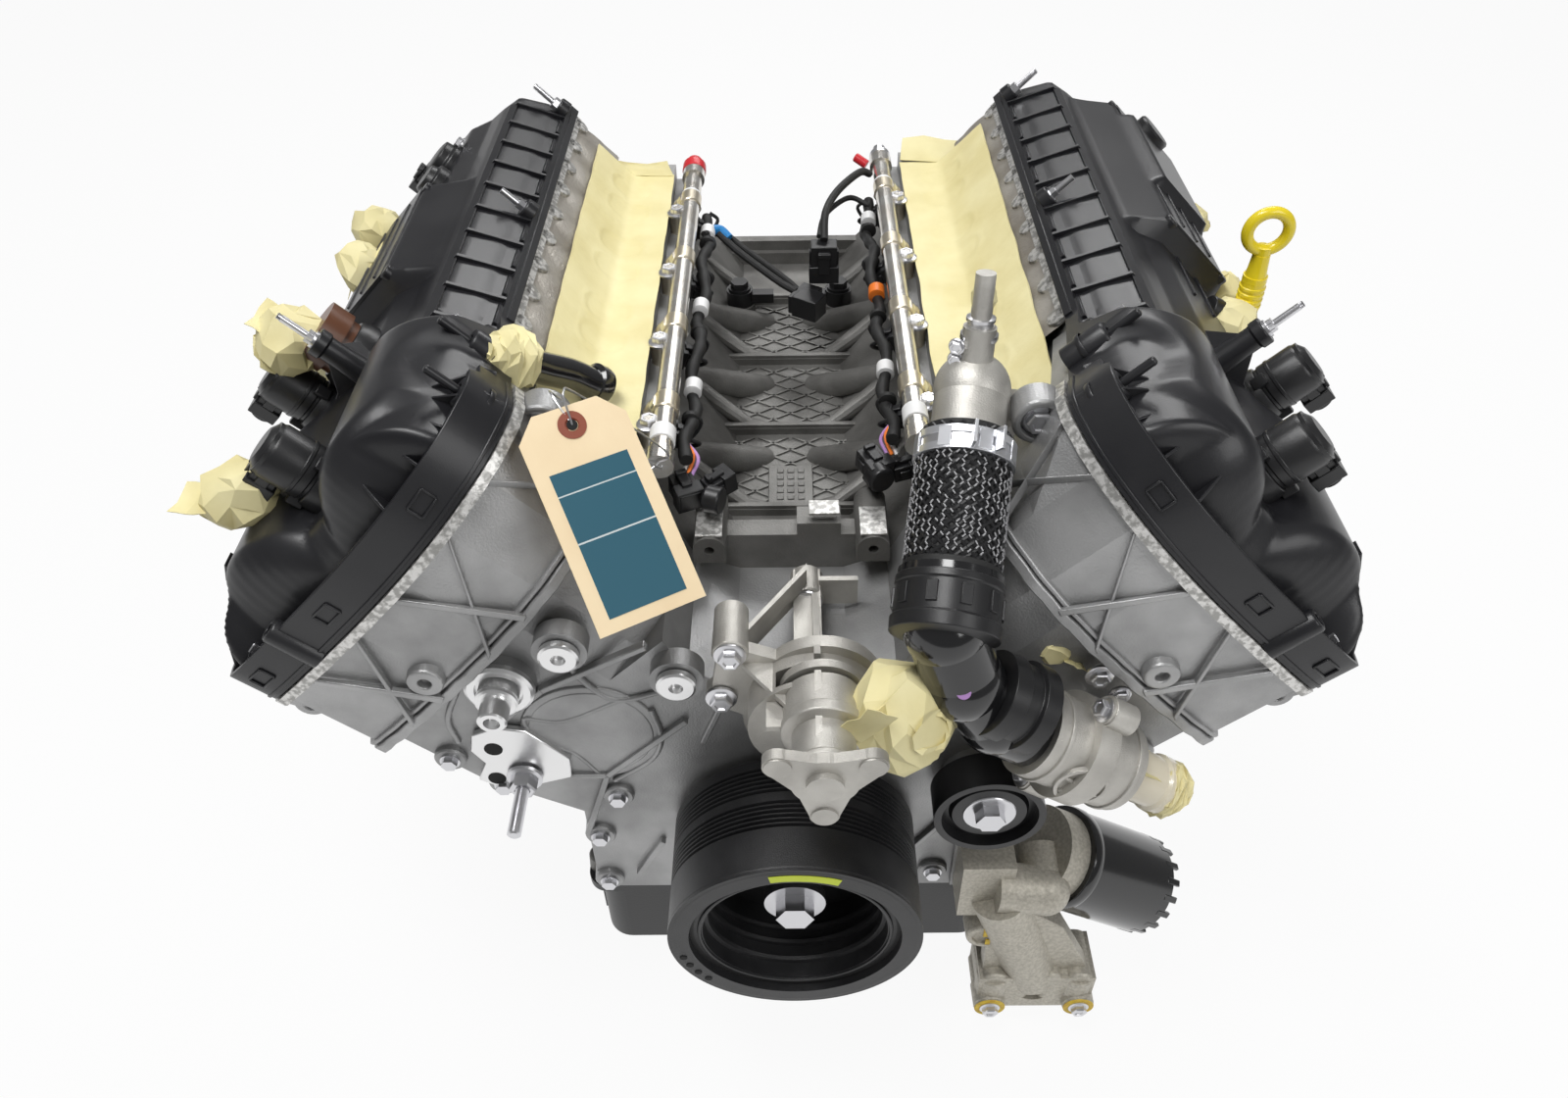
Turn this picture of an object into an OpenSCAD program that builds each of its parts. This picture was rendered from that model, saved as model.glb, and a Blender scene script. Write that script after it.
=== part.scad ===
// Eight-cylinder vee engine, dressed long block.
// Frame: +X to the right seen from the front, +Y to the rear, +Z up.
// Origin: crankshaft axis at the rear face of the crankshaft flange. Millimetres.
// Bank 1 is at -X and bank 2 at +X. In a bank's own frame X is w, outboard along the
// deck, and Z is u, up the cylinder axis from the crankshaft.

/* [Cylinders] */
// Distance between neighbouring bores of a bank
bore_pitch = 100; // [98:0.5:106]
// Bore diameter
bore_d = 93; // [88:0.5:95]
// Piston stroke
stroke = 92.7; // [86:0.1:94]
// Crankshaft axis to deck, along the bore
deck_h = 227; // [225:0.5:232]
// Piston pin to piston crown
compression_h = 29.95; // [29:0.05:31]
// How far bank 1 stands ahead of bank 2
bank_offset = 20; // [19.5:0.5:22]

/* [Crankshaft] */
// Main journal diameter
main_d = 67.5; // [62:0.5:68]
// Crankpin diameter
pin_d = 53; // [50:0.5:56]
// Radial running clearance of every journal
run_gap = 0.05; // [0.02:0.01:0.09]
// Width of a main bearing
main_w = 24; // [22:0.5:25]
// Piston skirt below the pin
skirt_drop = 20; // [18:0.5:22]
// Room between the counterweights and a skirt at the bottom of its stroke
weight_gap = 6.35; // [5:0.5:10]
// Rear flange radius
flange_r = 50; // [49:0.5:52]
// Bolt circle of the rear flange
flange_pcd = 79.4; // [76:0.2:82]
// Radius of the rear flange bolt holes
flange_hole_r = 5; // [4:0.25:5.5]
// Radius of the pilot bore
pilot_r = 21; // [18:0.5:24]

/* [Block] */
// Distance from the rearmost bore to the rear face
rear_wall = 78; // [74:0.5:80]
// Distance from the foremost bore to the front face
front_wall = 62; // [60:0.5:70]
// Half width of a cylinder bank
bank_hw = 66.5; // [64:0.5:68]
// Half width of the pan rail
rail_x = 158; // [150:1:165]
// Depth of the pan rail below the crankshaft axis
rail_depth = 85; // [84:0.5:92]
// Half width of the skirt
skirt_x = 140; // [136:1:146]
// Height of the valley floor
valley_z = 138; // [130:1:144]

/* [Heads] */
// Head gasket thickness
gasket_t = 1; // [0.6:0.1:2]
// Cover seam above the crankshaft axis, along the bore
seam_u = 340; // [336:1:344]
// Intake camshaft place across the bank
cam_in_w = -46; // [-48:0.5:-44]
// Exhaust camshaft place across the bank
cam_ex_w = 64; // [63:0.5:65]
// Camshaft height above the seam
cam_rise = 12; // [11:0.5:14]
// Height of the intake port face
port_z = 244; // [240:1:248]
// Camshaft journal radius
cam_journal_r = 14; // [12:0.5:16]

/* [Timing drive] */
// Depth of the timing case in front of the block
case_d = 108; // [104:1:112]
// Timing case wall
case_t = 5; // [4:0.5:6]
// Teeth of the crankshaft and secondary sprockets; a primary camshaft sprocket has twice as many
crank_teeth = 18; // [18:1:19]
// Chain pitch
chain_pitch = 7.7; // [7:0.1:8]
// Phaser radius
phaser_r = 48; // [44:0.5:49]

/* [Cam covers] */
// Cover flange thickness
cover_flange = 12; // [9:0.5:14]
// Cover wall
cover_t = 4; // [3:0.5:5]
// Radius of the domes over the phasers
dome_r = 58; // [57:0.5:60]
// Room between the exhaust phasers and the outer edge of a cover flange
cover_side = 10; // [9:0.5:14]

/* [Oil pan] */
// Depth of the pan below its rail
pan_d = 140; // [120:1:160]
// Pan wall
pan_t = 3; // [2.5:0.5:5]
// Half width of the pan box
pan_x = 164; // [158:1:170]

/* [Front drive] */
// Damper outer radius
damper_r = 85; // [80:0.5:90]
// Damper length
damper_l = 86; // [80:1:92]
// Crankshaft nose radius
nose_r = 16; // [14:0.5:16.5]
// Water pump place to the right of the crankshaft
pump_x = 18; // [16:0.5:22]
// Water pump height above the crankshaft
pump_z = 172; // [168:0.5:176]
// Bolt circle of the water pump hub
pump_pcd = 62; // [58:0.5:66]
// Idler pulley radius
idler_r = 37.5; // [34:0.5:40]
// Idler pulley width
idler_l = 26; // [22:0.5:28]

/* [Fuel and cooling] */
// Fuel rail tube radius
rail_r = 8; // [7:0.25:9]
// Fuel rail place from the centre plane
fuel_x = 85; // [83:0.5:87]
// Coolant hose radius
hose_r = 27; // [24:0.5:29]
// Hose wall
hose_t = 4.5; // [3.5:0.5:6]
// Oil filter radius
filter_r = 38; // [35:0.5:40]
// Oil filter length
filter_l = 96; // [88:1:110]

/* [Hidden] */
$fn = 48;

s45 = sqrt(0.5);
bore_r = bore_d / 2;
throw_r = stroke / 2;
rod_len = deck_h - compression_h - throw_r;
weight_r = rod_len - throw_r - skirt_drop - weight_gap;
crank_rest = 20;
throw_angles = [0, 90, 270, 180];
rear_bore_y = -90;
block_rear = rear_bore_y + rear_wall;
front_y = rear_bore_y - bank_offset - 3 * bore_pitch - front_wall;
case_y = front_y - case_d;
cover_out_w = cam_ex_w + phaser_r + cover_side;
rail_z = -rail_depth;
head_u = deck_h + gasket_t;
cam_u = seam_u + cam_rise;
sprocket_r = crank_teeth * chain_pitch / (2 * PI);
cam_sprocket_r = 2 * sprocket_r;
chain_t = 5;
chain_w = 9;
chain1_y = [front_y - 12, front_y - 25];
chain2_y = front_y - 39;
phaser_rear = front_y - 46;
phaser_front = front_y - 64;
cam_nose_y = front_y - 6;
cover_front = case_y - 17;
pan_z = rail_z - pan_d;
damper_rear = case_y - 8;
damper_front = damper_rear - damper_l;
pump_front = case_y - 93;
seat = 0.3;
silver = "silver";
castgrey = [0.66, 0.66, 0.65];
plastic = [0.12, 0.12, 0.13];

function bx(w, u) = (u + w) * s45;
function bz(w, u) = (u - w) * s45;
function cyl_y(n, i) = rear_bore_y - (n == 1 ? bank_offset : 0) - (3 - i) * bore_pitch;
function pin_y(i) = (cyl_y(1, i) + cyl_y(2, i)) / 2;
function main_y(j) = pin_y(3) + bore_pitch / 2 - j * bore_pitch;
function bank_rear(n) = block_rear - (n == 1 ? bank_offset : 0);
function pin_angle(i) = crank_rest + throw_angles[i];
// Angle of a crankpin from its bank's own axis, and the piston pin's height up the bore
function bank_angle(n, i) = pin_angle(i) - (n == 2 ? 45 : -45);
function pin_u(n, i) = throw_r * cos(bank_angle(n, i))
    + sqrt(pow(rod_len, 2) - pow(throw_r * sin(bank_angle(n, i)), 2));

// Places the children in the frame of bank n
module bank(n) {
    if (n == 2) rotate([0, 45, 0]) children();
    else mirror([1, 0, 0]) rotate([0, 45, 0]) children();
}
module side(n) mirror([n == 1 ? 1 : 0, 0, 0]) children();
// Extrudes an X-Z outline from y0 to y1
module xz(y0, y1) translate([0, y1, 0]) rotate([90, 0, 0]) linear_extrude(y1 - y0) children();
// Cylinder along +Y from y0 to y1
module ycyl(r, y0, y1, x = 0, z = 0)
    translate([x, y0, z]) rotate([-90, 0, 0]) cylinder(r = r, h = y1 - y0);
// Round bar between two points
module bar(a, b, r) {
    d = b - a;
    l = norm(d);
    translate(a) rotate([0, acos(d[2] / l), atan2(d[1], d[0])]) cylinder(r = r, h = l);
}
// Outline of a belt round two circles
module belt2d(c1, r1, c2, r2) {
    d = norm(c2 - c1);
    a = atan2(c2[1] - c1[1], c2[0] - c1[0]);
    b = acos((r1 - r2) / d);
    translate(c1) circle(r1);
    translate(c2) circle(r2);
    polygon([c1 + r1 * [cos(a + b), sin(a + b)], c2 + r2 * [cos(a + b), sin(a + b)],
        c2 + r2 * [cos(a - b), sin(a - b)], c1 + r1 * [cos(a - b), sin(a - b)]]);
}
module hex_bolt(r, head_h, shank_r, shank_l) {
    cylinder(r = r, h = head_h, $fn = 6);
    translate([0, 0, -shank_l]) cylinder(r = shank_r, h = shank_l + 1);
    cylinder(r = r * 1.25, h = head_h * 0.3);
}
// Same bolt with its head towards -Y and its seat at y
module front_bolt(x, y, z, r = 6, l = 8) translate([x, y, z]) rotate([90, 0, 0]) hex_bolt(r, r, r * 0.5, l);
// Rounded rectangle about the origin
module round_rect(hx, hy, r) {
    square([2 * (hx - r), 2 * hy], center = true);
    square([2 * hx, 2 * (hy - r)], center = true);
    for (sx = [-1, 1], sy = [-1, 1]) translate([sx * (hx - r), sy * (hy - r)]) circle(r);
}

// Cylinder block
function block_side() = [
    [rail_x, rail_z], [rail_x, rail_z + 12], [skirt_x, rail_z + 24],
    [skirt_x, skirt_x - 2 * bank_hw * s45],
    [bx(bank_hw, deck_h), bz(bank_hw, deck_h)],
    [bx(-bank_hw, deck_h), bz(-bank_hw, deck_h)],
    [valley_z - 2 * bank_hw * s45, valley_z]];
module block_outline() {
    r = block_side();
    l = [for (i = [len(r) - 1:-1:0]) [-r[i][0], r[i][1]]];
    polygon(concat(r, l));
}
rod_rim = 10;
bay_gap = 5.15;
bay_r = max(weight_r, throw_r + pin_d / 2 + rod_rim) + bay_gap;
cap_hx = 55;
seal_r = flange_r - 2;
lug_x = 55;
lug_z = 187;
lug_r = 11;
lug_hole_r = 3.4;
pad_y = -230;
pad_z = -18;
pad_dy = 90;
pad_dz = 56;
pad_hole_r = 4.25;
pad_t = 14;
bell_x = 150;
bell_z = 70;
bell_hole_r = 5.1;
bell_top_x = 92;
bell_top_z = 150;
knock_x = 45;
knock_y = -120;
knock_z = 151;
module engine_block() color(castgrey) difference() {
    union() {
        xz(front_y, block_rear) block_outline();
        // Lugs and machined pads at the front of the valley
        for (sx = [-1, 1]) {
            ycyl(lug_r, front_y - 22, front_y + 30, sx * lug_x, lug_z);
            translate([sx * lug_x - lug_r, front_y - 22, lug_z - lug_r]) cube([2 * lug_r, 52, lug_r]);
            translate([sx * lug_x - lug_r, front_y, valley_z - 30]) cube([2 * lug_r, 30, lug_z - valley_z + 30]);
        }
        translate([-lug_x, front_y, valley_z - 10]) cube([2 * lug_x, 16, lug_z - valley_z + 4]);
        translate([4, front_y, valley_z - 10]) cube([30, 18, lug_z - valley_z + 14]);
        // Raised plate at the rear of the valley
        translate([-86, block_rear - 10, valley_z - 30]) cube([172, 10, 52]);
        // Ribs across the valley floor and its sides
        for (i = [0:3]) translate([-70, pin_y(i) - 3, valley_z - 12]) cube([140, 6, 18]);
        for (i = [0:2], sx = [-1, 1]) {
            m = pin_y(i) + bore_pitch / 2;
            bar([sx * 84, m - 20, valley_z + 34], [sx * 20, m + 20, valley_z - 6], 11);
        }
        // Bosses of the knock sensors
        for (sx = [-1, 1]) translate([sx * knock_x, knock_y, valley_z - 10]) cylinder(r = 14, h = knock_z - valley_z + 10);
        // Engine mount pads
        for (sx = [-1, 1], dy = [-1, 1], dz = [-1, 1])
            translate([sx * (skirt_x - 20), pad_y + dy * pad_dy / 2, pad_z + dz * pad_dz / 2])
                rotate([0, sx * 90, 0]) cylinder(r = 13, h = 20 + pad_t);
        // Rear flange with its ears
        xz(block_rear - 16, block_rear) {
            polygon([[-bell_x, rail_z], [bell_x, rail_z], [bell_x, bell_z], [bell_top_x, bell_top_z],
                [-bell_top_x, bell_top_z], [-bell_x, bell_z]]);
            for (sx = [-1, 1]) {
                translate([sx * bell_x, bell_z]) circle(14);
                translate([sx * bell_x, -bell_z]) circle(14);
                translate([sx * bell_top_x, bell_top_z]) circle(14);
            }
        }
    }
    for (n = [1, 2], i = [0:3])
        bank(n) translate([0, cyl_y(n, i), bay_r * 0.7]) cylinder(r = bore_r, h = deck_h);
    // Crankcase bays between the bearing bulkheads
    for (i = [0:3]) {
        ycyl(bay_r, pin_y(i) - bore_pitch / 2 + main_w / 2, pin_y(i) + bore_pitch / 2 - main_w / 2);
        translate([-skirt_x + 8, pin_y(i) - bore_pitch / 2 + main_w / 2, rail_z - 1])
            cube([2 * skirt_x - 16, bore_pitch - main_w, rail_depth - 22]);
    }
    ycyl(main_d / 2 + run_gap, front_y - 1, block_rear + 1);
    translate([-cap_hx, front_y - 1, rail_z - 1]) cube([2 * cap_hx, block_rear - front_y + 2, rail_depth + 1]);
    ycyl(seal_r + 14, main_y(0) + main_w / 2 + 1, block_rear + 1);
    for (sx = [-1, 1]) {
        ycyl(lug_hole_r, front_y - 23, front_y + 6, sx * lug_x, lug_z);
        for (z = [-bell_z, bell_z]) ycyl(bell_hole_r, block_rear - 17, block_rear + 1, sx * bell_x, z);
        ycyl(bell_hole_r, block_rear - 17, block_rear + 1, sx * bell_top_x, bell_top_z);
        for (dy = [-1, 1], dz = [-1, 1])
            translate([sx * (skirt_x - 6), pad_y + dy * pad_dy / 2, pad_z + dz * pad_dz / 2])
                rotate([0, sx * 90, 0]) cylinder(r = pad_hole_r, h = 8 + pad_t);
    }
}

module main_bearing_caps() color(castgrey) for (j = [0:4]) {
    y1 = main_y(j) + main_w / 2 - 0.5;
    y0 = j == 4 ? front_y : main_y(j) - main_w / 2 + 0.5;
    difference() {
        union() {
            translate([-cap_hx, y0, -46]) cube([2 * cap_hx, y1 - y0, 46]);
            translate([-30, y0, -58]) cube([60, y1 - y0, 20]);
            // Heads of the cap bolts
            for (sx = [-1, 1]) translate([sx * 44, (y0 + y1) / 2, -46])
                rotate([180, 0, 0]) cylinder(r = 8, h = 9, $fn = 6);
        }
        ycyl(main_d / 2 + run_gap, y0 - 1, y1 + 1);
    }
}

module rear_seal_plate() color(silver) difference() {
    union() {
        xz(block_rear, block_rear + 3.5) polygon([[-78, rail_z], [78, rail_z], [78, 20], [40, 66], [-40, 66], [-78, 20]]);
        ycyl(seal_r + 13.5, block_rear - 18, block_rear + 1);
    }
    ycyl(seal_r + run_gap, block_rear - 19, block_rear + 5);
}

// Crankshaft with its four throws
module crank_web(y, a, pin_side) {
    xz(y, y + 14) rotate(-a) {
        belt2d([0, 0], main_d / 2 + 3, [0, throw_r], pin_d / 2 + 4);
        intersection() {
            circle(weight_r);
            polygon([[0, 12], [-weight_r, -16], [-weight_r - 1, -weight_r - 1], [weight_r + 1, -weight_r - 1], [weight_r, -16]]);
        }
    }
}
module crankshaft() color([0.5, 0.5, 0.52]) difference() {
    union() {
        for (j = [0:4])
            ycyl(main_d / 2, j == 4 ? front_y - 2 : main_y(j) - main_w / 2 - 2, main_y(j) + main_w / 2 + 2);
        for (i = [0:3]) {
            px = throw_r * sin(pin_angle(i));
            pz = throw_r * cos(pin_angle(i));
            web_y0 = pin_y(i) - bore_pitch / 2 + main_w / 2 + 1;
            web_y1 = pin_y(i) + bore_pitch / 2 - main_w / 2 - 15;
            crank_web(web_y0, pin_angle(i));
            crank_web(web_y1, pin_angle(i));
            ycyl(pin_d / 2, web_y0 + 13, web_y1 + 1, px, pz);
        }
        ycyl(seal_r, main_y(0) + main_w / 2 + 1, -2);
        ycyl(flange_r, -8, 0);
        ycyl(nose_r, damper_front + 34, front_y);
    }
    for (k = [0:7]) rotate([0, k * 45, 0]) ycyl(flange_hole_r, -20, 1, flange_pcd / 2, 0);
    ycyl(pilot_r, -22, 1);
    ycyl(7, damper_front + 33, damper_front + 80);
}

rod_w = 19.6;
wrist_r = 11;
module rod(n, i) {
    a = (n == 2 ? 1 : -1) * bank_angle(n, i);
    pin = [throw_r * sin(a), throw_r * cos(a)];
    top = [0, pin_u(n, i)];
    bank(n) xz(cyl_y(n, i) - rod_w / 2, cyl_y(n, i) + rod_w / 2) difference() {
        union() {
            translate(pin) circle(pin_d / 2 + rod_rim);
            translate(top) circle(wrist_r + 6);
            belt2d(pin, 16, top, 10);
        }
        translate(pin) circle(pin_d / 2 + run_gap);
        translate(top) circle(wrist_r + run_gap);
    }
}
module connecting_rods() color([0.45, 0.45, 0.46]) for (n = [1, 2], i = [0:3]) rod(n, i);

skirt_gap = 0.3;
module piston(n, i) color([0.72, 0.72, 0.72]) bank(n) translate([0, cyl_y(n, i), pin_u(n, i)]) {
    difference() {
        translate([0, 0, -skirt_drop]) cylinder(r = bore_r - skirt_gap, h = skirt_drop + compression_h);
        // Ring grooves
        for (k = [0:2]) translate([0, 0, compression_h - 7 - 6 * k]) difference() {
            cylinder(r = bore_r + 1, h = 1.5);
            translate([0, 0, -1]) cylinder(r = bore_r - 4, h = 4);
        }
        translate([0, 0, -skirt_drop - 1]) cylinder(r = bore_r - 6, h = skirt_drop + 1 + wrist_r + 8);
    }
    difference() {
        for (sy = [-1, 1]) translate([-18, sy > 0 ? rod_w / 2 + 1 : -rod_w / 2 - 15, -14]) cube([36, 14, 14 + wrist_r + 9]);
        ycyl(wrist_r, -40, 40);
    }
    ycyl(wrist_r, -30, 30);
}
module piston_1() piston(1, 0);
module piston_2() piston(1, 1);
module piston_3() piston(1, 2);
module piston_4() piston(1, 3);
module piston_5() piston(2, 0);
module piston_6() piston(2, 1);
module piston_7() piston(2, 2);
module piston_8() piston(2, 3);

face_gap = 0.01;
module head_gaskets() color([0.3, 0.3, 0.32]) for (n = [1, 2]) bank(n) difference() {
    translate([-bank_hw, front_y, deck_h + face_gap])
        cube([2 * bank_hw, bank_rear(n) - front_y, gasket_t - 2 * face_gap]);
    for (i = [0:3]) translate([0, cyl_y(n, i), deck_h - 1]) cylinder(r = bore_r + 1, h = gasket_t + 2);
}

// Cylinder heads
head_ex_w = cover_out_w - 10;
head_in_w = -70;
ledge_x = 90;
ledge_z = port_z - 14;
port_in_x = 103;
port_out_x = 176;
injector_tilt = 35;
injector_r = 8.5;
// Head outline across the engine: deck, exhaust side, seam, intake wall, port face and ledge
module head_outline() polygon([
    [bx(-bank_hw, head_u), bz(-bank_hw, head_u)], [bx(bank_hw, head_u), bz(bank_hw, head_u)],
    [bx(92, head_u + 14), bz(92, head_u + 14)], [bx(head_ex_w, head_u + 70), bz(head_ex_w, head_u + 70)],
    [bx(head_ex_w, seam_u), bz(head_ex_w, seam_u)], [bx(head_in_w, seam_u), bz(head_in_w, seam_u)],
    [port_out_x + 4, port_z + 8], [port_out_x, port_z], [port_in_x, port_z], [port_in_x, ledge_z],
    [ledge_x, ledge_z], [ledge_x + 5, ledge_z - 6]]);
module injector_axis(y) translate([fuel_x, y, port_z + 1]) rotate([0, 180 - injector_tilt, 0]) children();
module head(n) color(castgrey) {
    difference() {
        union() {
            side(n) xz(front_y, bank_rear(n)) head_outline();
            bank(n) translate([0, 0, seam_u - 16]) linear_extrude(16)
                polygon([[head_in_w + 1, front_y + 88], [-96, front_y], [head_in_w + 1, front_y]]);
        }
        bank(n) {
            xz(front_y + 12, bank_rear(n) - 12) gallery_outline(seam_u + 1);
            // Combustion chambers
            for (i = [0:3]) translate([0, cyl_y(n, i), head_u - 34]) sphere(r = 50);
            // Camshaft passages in the front wall
            for (w = [cam_in_w, cam_ex_w]) ycyl(cam_journal_r + 2, front_y - 1, front_y + 13, w, cam_u);
        }
        side(n) for (i = [0:3]) {
            // Paired intake ports
            for (dy = [-19, 19]) translate([(port_in_x + port_out_x) / 2, cyl_y(n, i) + dy, port_z - 30])
                linear_extrude(40) round_rect(21, 14, 12);
            // Exhaust port
            translate([bx(head_ex_w, head_u + 46), cyl_y(n, i), bz(head_ex_w, head_u + 46)])
                rotate([0, 62, 0]) translate([0, 0, -34]) cylinder(r = 19, h = 60);
            injector_axis(cyl_y(n, i)) cylinder(r = injector_r + 0.4, h = 46);
        }
    }
    // Camshaft saddles
    bank(n) for (y = saddle_ys(n), w = [cam_in_w, cam_ex_w]) difference() {
        xz(y - 9, y + 9) intersection() {
            gallery_outline(cam_u);
            translate([w - saddle_hw, seam_u - gallery_d]) square([2 * saddle_hw, gallery_d + cam_rise]);
        }
        ycyl(cam_journal_r + run_gap, y - 10, y + 10, w, cam_u);
    }
}
gallery_d = 34;
saddle_hw = 17;
// Cam gallery, seen along the camshafts, up to height top
module gallery_outline(top) polygon([[cam_in_w - 19, top], [cam_in_w - 19, seam_u], [cam_in_w - 4, seam_u - 20],
    [cam_in_w + 16, seam_u - gallery_d], [cam_ex_w + 30, seam_u - gallery_d], [cam_ex_w + 38, seam_u],
    [cam_ex_w + 38, top]]);
function saddle_ys(n) = concat([front_y + 24], [for (i = [0:2]) cyl_y(n, i) + bore_pitch / 2], [bank_rear(n) - 24]);
module bank1_cylinder_head() head(1);
module bank2_cylinder_head() head(2);

cap_hw = 15.5;
module cam_caps() color(silver) for (n = [1, 2]) bank(n)
    for (y = saddle_ys(n), w = [cam_in_w, cam_ex_w]) difference() {
        union() {
            translate([w - cap_hw, y - 8, cam_u]) cube([2 * cap_hw, 16, 7]);
            intersection() {
                ycyl(cam_journal_r + 4, y - 8, y + 8, w, cam_u);
                translate([w - cap_hw, y - 8, cam_u]) cube([2 * cap_hw, 16, 30]);
            }
        }
        ycyl(cam_journal_r + run_gap, y - 9, y + 9, w, cam_u);
    }

// Camshafts: w place, lobe phase
lobe_angles = [0, 90, 270, 180];
lobe_base_r = 12;
lobe_nose_r = 8;
lobe_reach = 9;
module camshaft(n, w, phase) color([0.4, 0.4, 0.42]) bank(n) translate([w, 0, cam_u]) {
    ycyl(cam_journal_r - 3, cam_nose_y, bank_rear(n) - 13);
    ycyl(cam_journal_r, cam_nose_y, front_y + 34);
    for (y = saddle_ys(n)) ycyl(cam_journal_r, y - 11, y + 11);
    for (i = [0:3], dy = [-19, 19]) xz(cyl_y(n, i) + dy - 6, cyl_y(n, i) + dy + 6)
        rotate(phase + lobe_angles[i] / 2 * (n == 1 ? 1 : -1)) belt2d([0, 0], lobe_base_r, [0, lobe_reach], lobe_nose_r);
}
module bank1_intake_camshaft() camshaft(1, cam_in_w, 20);
module bank1_exhaust_camshaft() camshaft(1, cam_ex_w, 130);
module bank2_intake_camshaft() camshaft(2, cam_in_w, 65);
module bank2_exhaust_camshaft() camshaft(2, cam_ex_w, 175);

// Toothed sprocket outline
module sprocket2d(pitch_r, teeth) {
    circle(pitch_r - 3.2);
    for (k = [0:teeth - 1]) rotate(k * 360 / teeth)
        polygon([[-1.7, pitch_r - 4], [-0.9, pitch_r - 0.6], [0.9, pitch_r - 0.6], [1.7, pitch_r - 4]]);
}
module phaser(n, w, primary) color([0.35, 0.35, 0.36]) bank(n) translate([w, 0, cam_u]) {
    ycyl(phaser_r, phaser_front, phaser_rear);
    ycyl(cam_journal_r + 3, phaser_rear - 1, cam_nose_y);
    xz(chain2_y - chain_w / 2 + 1, chain2_y + chain_w / 2 - 1) sprocket2d(sprocket_r, crank_teeth);
    ycyl(10, phaser_front - 8, phaser_front + 1);
    if (primary)
        xz(chain1_y[n - 1] - chain_w / 2 + 1, chain1_y[n - 1] + chain_w / 2 - 1)
            sprocket2d(cam_sprocket_r, 2 * crank_teeth);
}
module bank1_intake_phaser() phaser(1, cam_in_w, true);
module bank1_exhaust_phaser() phaser(1, cam_ex_w, false);
module bank2_intake_phaser() phaser(2, cam_in_w, true);
module bank2_exhaust_phaser() phaser(2, cam_ex_w, false);

module crank_sprocket() color([0.35, 0.35, 0.36]) difference() {
    union() {
        ycyl(sprocket_r - 4, chain1_y[1] - 8, front_y - 3);
        for (y = chain1_y) xz(y - chain_w / 2 + 1, y + chain_w / 2 - 1) sprocket2d(sprocket_r, crank_teeth);
    }
    ycyl(nose_r, chain1_y[1] - 9, front_y);
}

// Chain band around two sprockets
module chain_band(c1, r1, c2, r2) difference() {
    belt2d(c1, r1 + chain_t, c2, r2 + chain_t);
    belt2d(c1, r1 + seat, c2, r2 + seat);
}
module primary_chains() color([0.3, 0.3, 0.32]) for (n = [1, 2]) side(n)
    xz(chain1_y[n - 1] - chain_w / 2, chain1_y[n - 1] + chain_w / 2)
        chain_band([0, 0], sprocket_r - 0.6, [bx(cam_in_w, cam_u), bz(cam_in_w, cam_u)], cam_sprocket_r - 0.6);
module secondary_chains() color([0.3, 0.3, 0.32]) for (n = [1, 2]) bank(n)
    xz(chain2_y - chain_w / 2, chain2_y + chain_w / 2)
        chain_band([cam_in_w, cam_u], sprocket_r - 0.6, [cam_ex_w, cam_u], sprocket_r - 0.6);

guide_t = 5;
// Guides beside the two straight runs of each primary chain
module chain_guides() color([0.55, 0.45, 0.3]) for (n = [1, 2]) side(n) {
    c = [bx(cam_in_w, cam_u), bz(cam_in_w, cam_u)];
    d = norm(c);
    a = atan2(c[1], c[0]);
    tilt = asin((cam_sprocket_r - sprocket_r) / d);
    xz(n == 1 ? chain1_y[0] - 5 : chain1_y[1] - 5, front_y) for (sy = [-1, 1]) rotate(a + sy * tilt)
        translate([60, sy * (sprocket_r - 0.6 + chain_t + seat) - (sy < 0 ? guide_t : 0)]) square([160, guide_t]);
}

module oil_pump() color([0.6, 0.6, 0.6]) difference() {
    union() {
        ycyl(52, chain1_y[1] - 46, chain1_y[1] - 12);
        translate([-70, chain1_y[1] - 40, -78]) cube([50, 22, 60]);
    }
    ycyl(nose_r + 0.5, chain1_y[1] - 47, chain1_y[1] - 11);
}

// Timing case: right half outline, inset by t
function case_side(t) = [
    [case_x - t, rail_z + t], [case_x - t, 14], [bx(tower_w - t, waist_u + t), bz(tower_w - t, waist_u + t)],
    [bx(tower_w - t, seam_u + t), bz(tower_w - t, seam_u + t)],
    [bx(t - 112, seam_u + t), bz(t - 112, seam_u + t)], [bx(t - 112, seam_u), bz(t - 112, seam_u)],
    [bx(t - 90, shoulder_u), bz(t - 90, shoulder_u)], [bx(t - 84, waist_u), bz(t - 84, waist_u)],
    [66 - t * 0.6, 162 - t], [36, 150 - t]];
case_x = 150;
waist_u = seam_u - 135;
shoulder_u = seam_u - 50;
tower_w = cover_out_w - 3;
tower_lo = seam_u - 150;
tower_u = seam_u - 78;
// Each tower's two levels: its foot, front face and the inset of its plan
tower_levels = [[tower_lo, case_y, 8], [tower_u, cover_front, 3]];
// Middle of the case, between the two bank towers
module case_centre(t) intersection() {
    r = case_side(t);
    l = [for (i = [len(r) - 1:-1:0]) [-r[i][0], r[i][1]]];
    polygon(concat(r, l));
    u = tower_lo + 2 - t;
    polygon([[-400, rail_z], [400, rail_z], [bx(200, u), bz(200, u)], [bx(-130, u), bz(-130, u)],
        [-bx(-130, u), bz(-130, u)], [-bx(200, u), bz(200, u)]]);
}
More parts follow.
